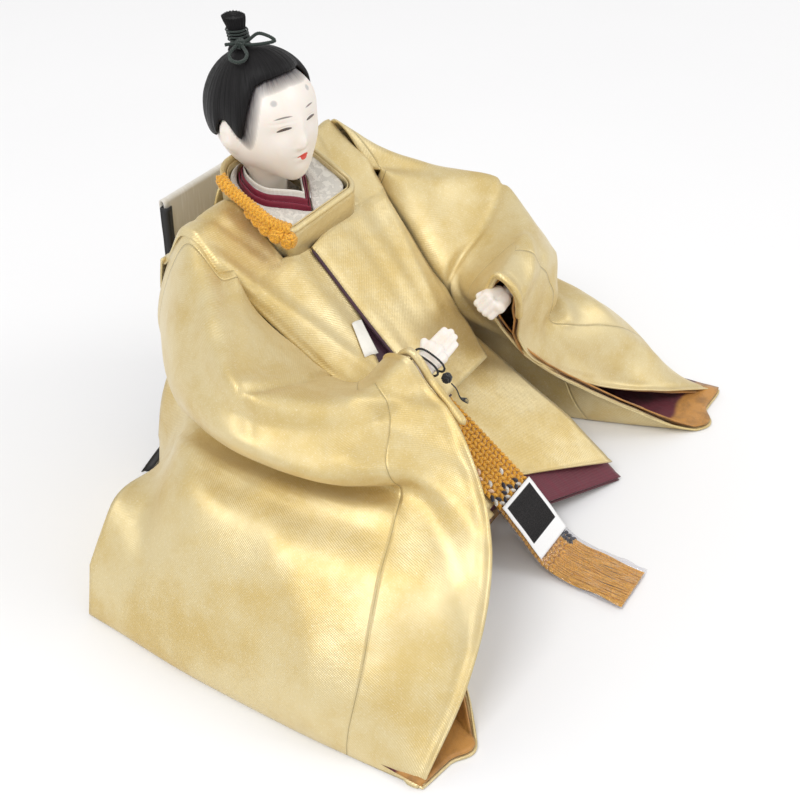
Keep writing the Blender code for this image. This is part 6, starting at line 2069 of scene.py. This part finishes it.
class DOLL_OT_fronts(bpy.types.Operator):
    """Make the robe's two fronts, its piping, facing and tucked paper"""

    bl_idname = "doll.fronts"
    bl_label = "Robe fronts"

    def execute(self, context):
        robe = robe_settings()
        gold = cloth(gold_brocade)
        left = front_piece(
            "left_front_brocade", 1.0, LEFT_EDGE, lambda x, y: chest_height(x, y, LEFT_RIDGE), gold
        )
        right = front_piece("right_front_brocade", -1.0, RIGHT_EDGE, right_height, gold)
        maroon = cloth(silk, robe.purple, name="purple_silk")
        piping = edge_piping(maroon)
        facing = facing_piece(maroon)
        dress(left, "root", "gold_brocade", "robe_front_left")
        dress(right, "root", "gold_brocade", "robe_front_right")
        dress(piping, "root", "maroon_silk", "front_edge_strip")
        dress(facing, "root", "purple_silk", "dark_facing")
        white = cloth(pressed_paper)
        for index in range(PAPER_LEAVES):
            leaf = paper_leaf(index, white)
            dress(leaf, "root", "paper", *(["tucked_paper"] if index == 0 else []))
        return {"FINISHED"}


class DOLL_OT_back(bpy.types.Operator):
    """Make the robe's back, its pouch and the train"""

    bl_idname = "doll.back"
    bl_label = "Back and train"

    def execute(self, context):
        robe = robe_settings()
        back = back_piece(cloth(gold_brocade))
        face = train_face_piece(cloth(silk, robe.cream, name="cream_silk"))
        lining = train_lining_piece(cloth(silk, robe.black, name="black_silk"))
        dress(back, "root", "gold_brocade", "robe_back")
        dress(face, "root", "white_silk", "train_face")
        dress(lining, "root", "black_silk", "train_lining")
        stuffed(
            "waist_pouch", "back_pouch", finish_once("gold_brocade_pouch", gold_brocade, "Object"), 3, 4,
            0.0004, "gold_brocade",
        )
        return {"FINISHED"}


class DOLL_OT_skirts(bpy.types.Operator):
    """Make the skirt band and the under-robe's two leaves"""

    bl_idname = "doll.skirts"
    bl_label = "Skirts"

    def execute(self, context):
        robe = robe_settings()
        band = skirt_piece(
            "skirt_brocade", (0.46, 0.58), (-0.240, 0.070), -1.27, (-1.24, 0.50), 0.0, 0.0010, 0.0,
            cloth(gold_brocade),
        )
        under = skirt_piece(
            "under_robe_silk", (0.47, 0.60), (-0.250, 0.080), -1.265, (-1.367, 0.355), 0.0195, 0.0007,
            0.040, cloth(silk, robe.wine, name="wine_silk"),
        )
        lining = skirt_piece(
            "under_robe_lower_leaf", (0.46, 0.595), (-0.255, 0.085), -1.265, (-1.367, 0.355), 0.0390,
            0.0006, 0.040, cloth(silk, shade(robe.wine, 0.7), name="dark_wine_silk"), 0.0012,
        )
        dress(band, "root", "gold_brocade", "skirt_band")
        dress(under, "root", "maroon_silk", "under_robe")
        dress(lining, "root", "purple_silk", "under_robe_lining")
        return {"FINISHED"}


class DOLL_OT_sash(bpy.types.Operator):
    """Make the plaited sash, its fringe, the clear film and the bare label"""

    bl_idname = "doll.sash"
    bl_label = "Sash and film"

    def execute(self, context):
        trim = trim_settings()
        places = sash_line()
        threads = {
            "orange": trim.orange, "rose": trim.rose, "navy": trim.navy,
            "white": tuple(robe_settings().cream),
        }
        for kind, paths in sash_stitches(places).items():
            silk_thread = cloth(spun_cord, threads[kind], name=f"{kind}_stitch_silk")
            stitches = strands(
                f"sash_{kind}_stitches", paths, 0.00102, silk_thread,
                lambda t: interpolate(STITCH_TAPER, t), 1,
            )
            dress(stitches, "root", "orange_braid", *(["sash"] if kind == "orange" else []))
        end = length_at(places, SASH_END_Y)
        # Painted shade: the core showing between the stitches is orange at 0.6 of its colour, dark as the gaps
        # between stitches.
        core = strap_piece(
            "sash_core", places, 0.0004, end, 0.0002, SASH_THICKNESS * 0.55, 0.0006,
            cloth(spun_cord, shade(trim.orange, 0.6), name="orange_core"),
        )
        fringe = fringe_strands(places, cloth(spun_cord, trim.fringe, name="fringe_silk_strands"))
        film = film_piece(places, cloth(clear_film))
        label = label_piece(places, cloth(sticker))
        dress(core, "root", "orange_braid")
        dress(fringe, "root", "amber_silk", "sash_fringe")
        dress(film, "root", "film", "film_sleeve")
        dress(label, "root", "paper", "label")
        return {"FINISHED"}


class DOLL_OT_collars(bpy.types.Operator):
    """Make the silk collars, the round brocade collar and its plaited cord"""

    bl_idname = "doll.collars"
    bl_label = "Collars"

    def execute(self, context):
        robe, trim = robe_settings(), trim_settings()
        gold, maroon = cloth(gold_brocade), cloth(silk, robe.maroon, name="maroon_silk")
        cream = cloth(silk, robe.cream, name="cream_silk")
        pieces = (
            ("white_neck_collar", 0, cream, "white_silk", "white_collar"),
            ("inner_maroon_collar", 1, maroon, "maroon_silk", "maroon_collar_inner"),
            ("outer_maroon_collar", 2, maroon, "maroon_silk", "maroon_collar_outer"),
        )
        for name, drop, material, slot, node in pieces:
            band = dress(neck_collar_piece(name, drop, material), "root", slot, node)
        figured = dress(figured_collar_piece(cloth(figured_silk)), "root", "white_silk", "brocade_collar")
        outer = ringed_piece("round_collar_brocade", ROBE_COLLAR_PROFILE, collar_ring, gold)
        rim = ringed_piece("round_collar_rim", RIM_PROFILE, collar_ring, gold)
        dress(outer, "root", "gold_brocade", "robe_collar")
        dress(rim, "root", "gold_brocade", "collar_lining")
        braid_silk = cloth(spun_cord, trim.orange, name="orange_braid_silk")
        dress(collar_braid(braid_silk), "root", "orange_braid", "collar_cord")
        for index, (x_share, y_share, radius) in enumerate(COLLAR_KNOTS):
            centre = beside_collar(x_share, y_share, 0.8 * radius, radius)
            knot = knot_ball(f"collar_knot_{index + 1}", centre, radius, 0.00074, braid_silk)
            dress(knot, "root", "orange_braid", *(["collar_knot"] if index == len(COLLAR_KNOTS) - 1 else []))
        return {"FINISHED"}


class DOLL_OT_head(bpy.types.Operator):
    """Make the painted head, the hair, the topknot and its cord"""

    bl_idname = "doll.head"
    bl_label = "Head and hair"

    def execute(self, context):
        hair = cloth(silk_hair)
        green = cloth(spun_cord, tuple(trim_settings().green), name="green_cord_silk")
        dress(head_piece(cloth(face_lacquer)), "head", "face_lacquer", "head")
        dress(hair_piece(hair), "head", "hair", "hair_cap")
        dress(topknot_piece(hair), "head", "hair", "topknot")
        dress(topknot_coil(green), "head", "green_cord", "topknot_cord")
        front, side, tie = bow_pieces(green)
        dress(front, "head", "green_cord", "bow_loop_front")
        dress(side, "head", "green_cord", "bow_loop_side")
        dress(tie, "head", "green_cord", "bow_knot")
        return {"FINISHED"}


class DOLL_OT_hands(bpy.types.Operator):
    """Make both lacquered hands and the black cord on the right one"""

    bl_idname = "doll.hands"
    bl_label = "Hands"

    def execute(self, context):
        white = cloth(shell_lacquer)
        black = cloth(spun_cord, tuple(trim_settings().black), name="black_cord_silk")
        left = hand_frame(LEFT_WRIST, LEFT_AXIS, LEFT_BACK)
        right = hand_frame(RIGHT_WRIST, RIGHT_AXIS, RIGHT_BACK)
        dress(hand_piece("left_fist", left, FIST, white), "left_hand", "face_lacquer", "left_hand")
        dress(
            hand_piece("right_open_hand", right, FLAT_HAND, white), "right_hand", "face_lacquer",
            "right_hand",
        )
        coil = strands(
            "hand_cord_coil", wound(hand_cord_path(right), 3, 0.00030, 0.0022), 0.00031, black
        )
        knot = knot_ball(
            "hand_cord_tie", right @ (Vector(HAND_KNOT) * HAND_LENGTH), 0.0022, 0.00055, black, 4
        )
        tail = strands("hand_cord_brush", hand_tail_paths(right), 0.00016, black)
        dress(coil, "right_hand", "black_cord", "hand_cord")
        dress(knot, "right_hand", "black_cord", "hand_cord_knot")
        dress(tail, "right_hand", "black_cord", "hand_cord_tail")
        return {"FINISHED"}


class DOLL_OT_stuffing(bpy.types.Operator):
    """Make the straw body, the cotton paddings and finish the parts inside"""

    bl_idname = "doll.stuffing"
    bl_label = "Stuffing and frame"

    def execute(self, context):
        cotton = cloth(cotton_wool)
        for name, node in (
            ("chest_cotton", "chest_padding"),
            ("left_knee_cotton", "left_knee_padding"),
            ("right_knee_cotton", "right_knee_padding"),
            ("collar_cotton", "collar_padding"),
            ("left_arm_cotton", "left_arm_padding"),
            ("right_arm_cotton", "right_arm_padding"),
        ):
            arm = "arm" in node
            stuffed(name, node, cotton, 1 if arm else 4, 2 if arm else 8, 0.0002 if arm else 0.0008)
        stuffed("straw_core", "straw_body", cloth(straw_bundle), 2, 2, 0.0003, "straw")
        finishes = {
            "base_board": cloth(board_wood),
            "head_rod": cloth(board_wood, (0.80, 0.66, 0.46), 0.003, (1.0, 1.0, 0.05), name="rod_wood_grain"),
            "neck_tube": cloth(pressed_paper, (0.80, 0.72, 0.58), name="tube_paper"),
            "arm_wire": cloth(drawn_wire),
            "left_hand_rod": cloth(drawn_wire),
            "right_hand_rod": cloth(drawn_wire),
        }
        for node, material in finishes.items():
            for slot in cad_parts[node].material_slots:
                slot.material = material
        return {"FINISHED"}


class DOLL_PT_workshop(bpy.types.Panel):
    """Lists the doll's settings and the steps that make it"""

    bl_idname = "DOLL_PT_workshop"
    bl_label = "Seated hina doll"
    bl_space_type = "VIEW_3D"
    bl_region_type = "UI"
    bl_category = "Hina Doll"

    def draw(self, context):
        for group in (
            context.scene.doll_robe, context.scene.doll_head, context.scene.doll_trim,
            context.scene.doll_stage,
        ):
            box = self.layout.box()
            for key in group.bl_rna.properties.keys():
                if key not in ("rna_type", "name"):
                    box.prop(group, key)
        for step in STEPS:
            self.layout.operator(step.bl_idname)


GROUPS = (
    ("doll_robe", RobeSettings),
    ("doll_head", HeadSettings),
    ("doll_trim", TrimSettings),
    ("doll_stage", StageSettings),
)
STEPS = (
    DOLL_OT_stage, DOLL_OT_stuffing, DOLL_OT_back, DOLL_OT_fronts, DOLL_OT_skirts, DOLL_OT_sash,
    DOLL_OT_sleeves, DOLL_OT_collars, DOLL_OT_head,
    DOLL_OT_hands,
)


def register():
    for name, group in GROUPS:
        bpy.utils.register_class(group)
        setattr(bpy.types.Scene, name, PointerProperty(type=group))
    for step in STEPS:
        bpy.utils.register_class(step)
    bpy.utils.register_class(DOLL_PT_workshop)


def unregister():
    bpy.utils.unregister_class(DOLL_PT_workshop)
    for step in reversed(STEPS):
        bpy.utils.unregister_class(step)
    for name, group in reversed(GROUPS):
        delattr(bpy.types.Scene, name)
        bpy.utils.unregister_class(group)


def main():
    register()
    for step in STEPS:
        area, name = step.bl_idname.split(".")
        getattr(getattr(bpy.ops, area), name)()


if __name__ == "__main__":
    main()
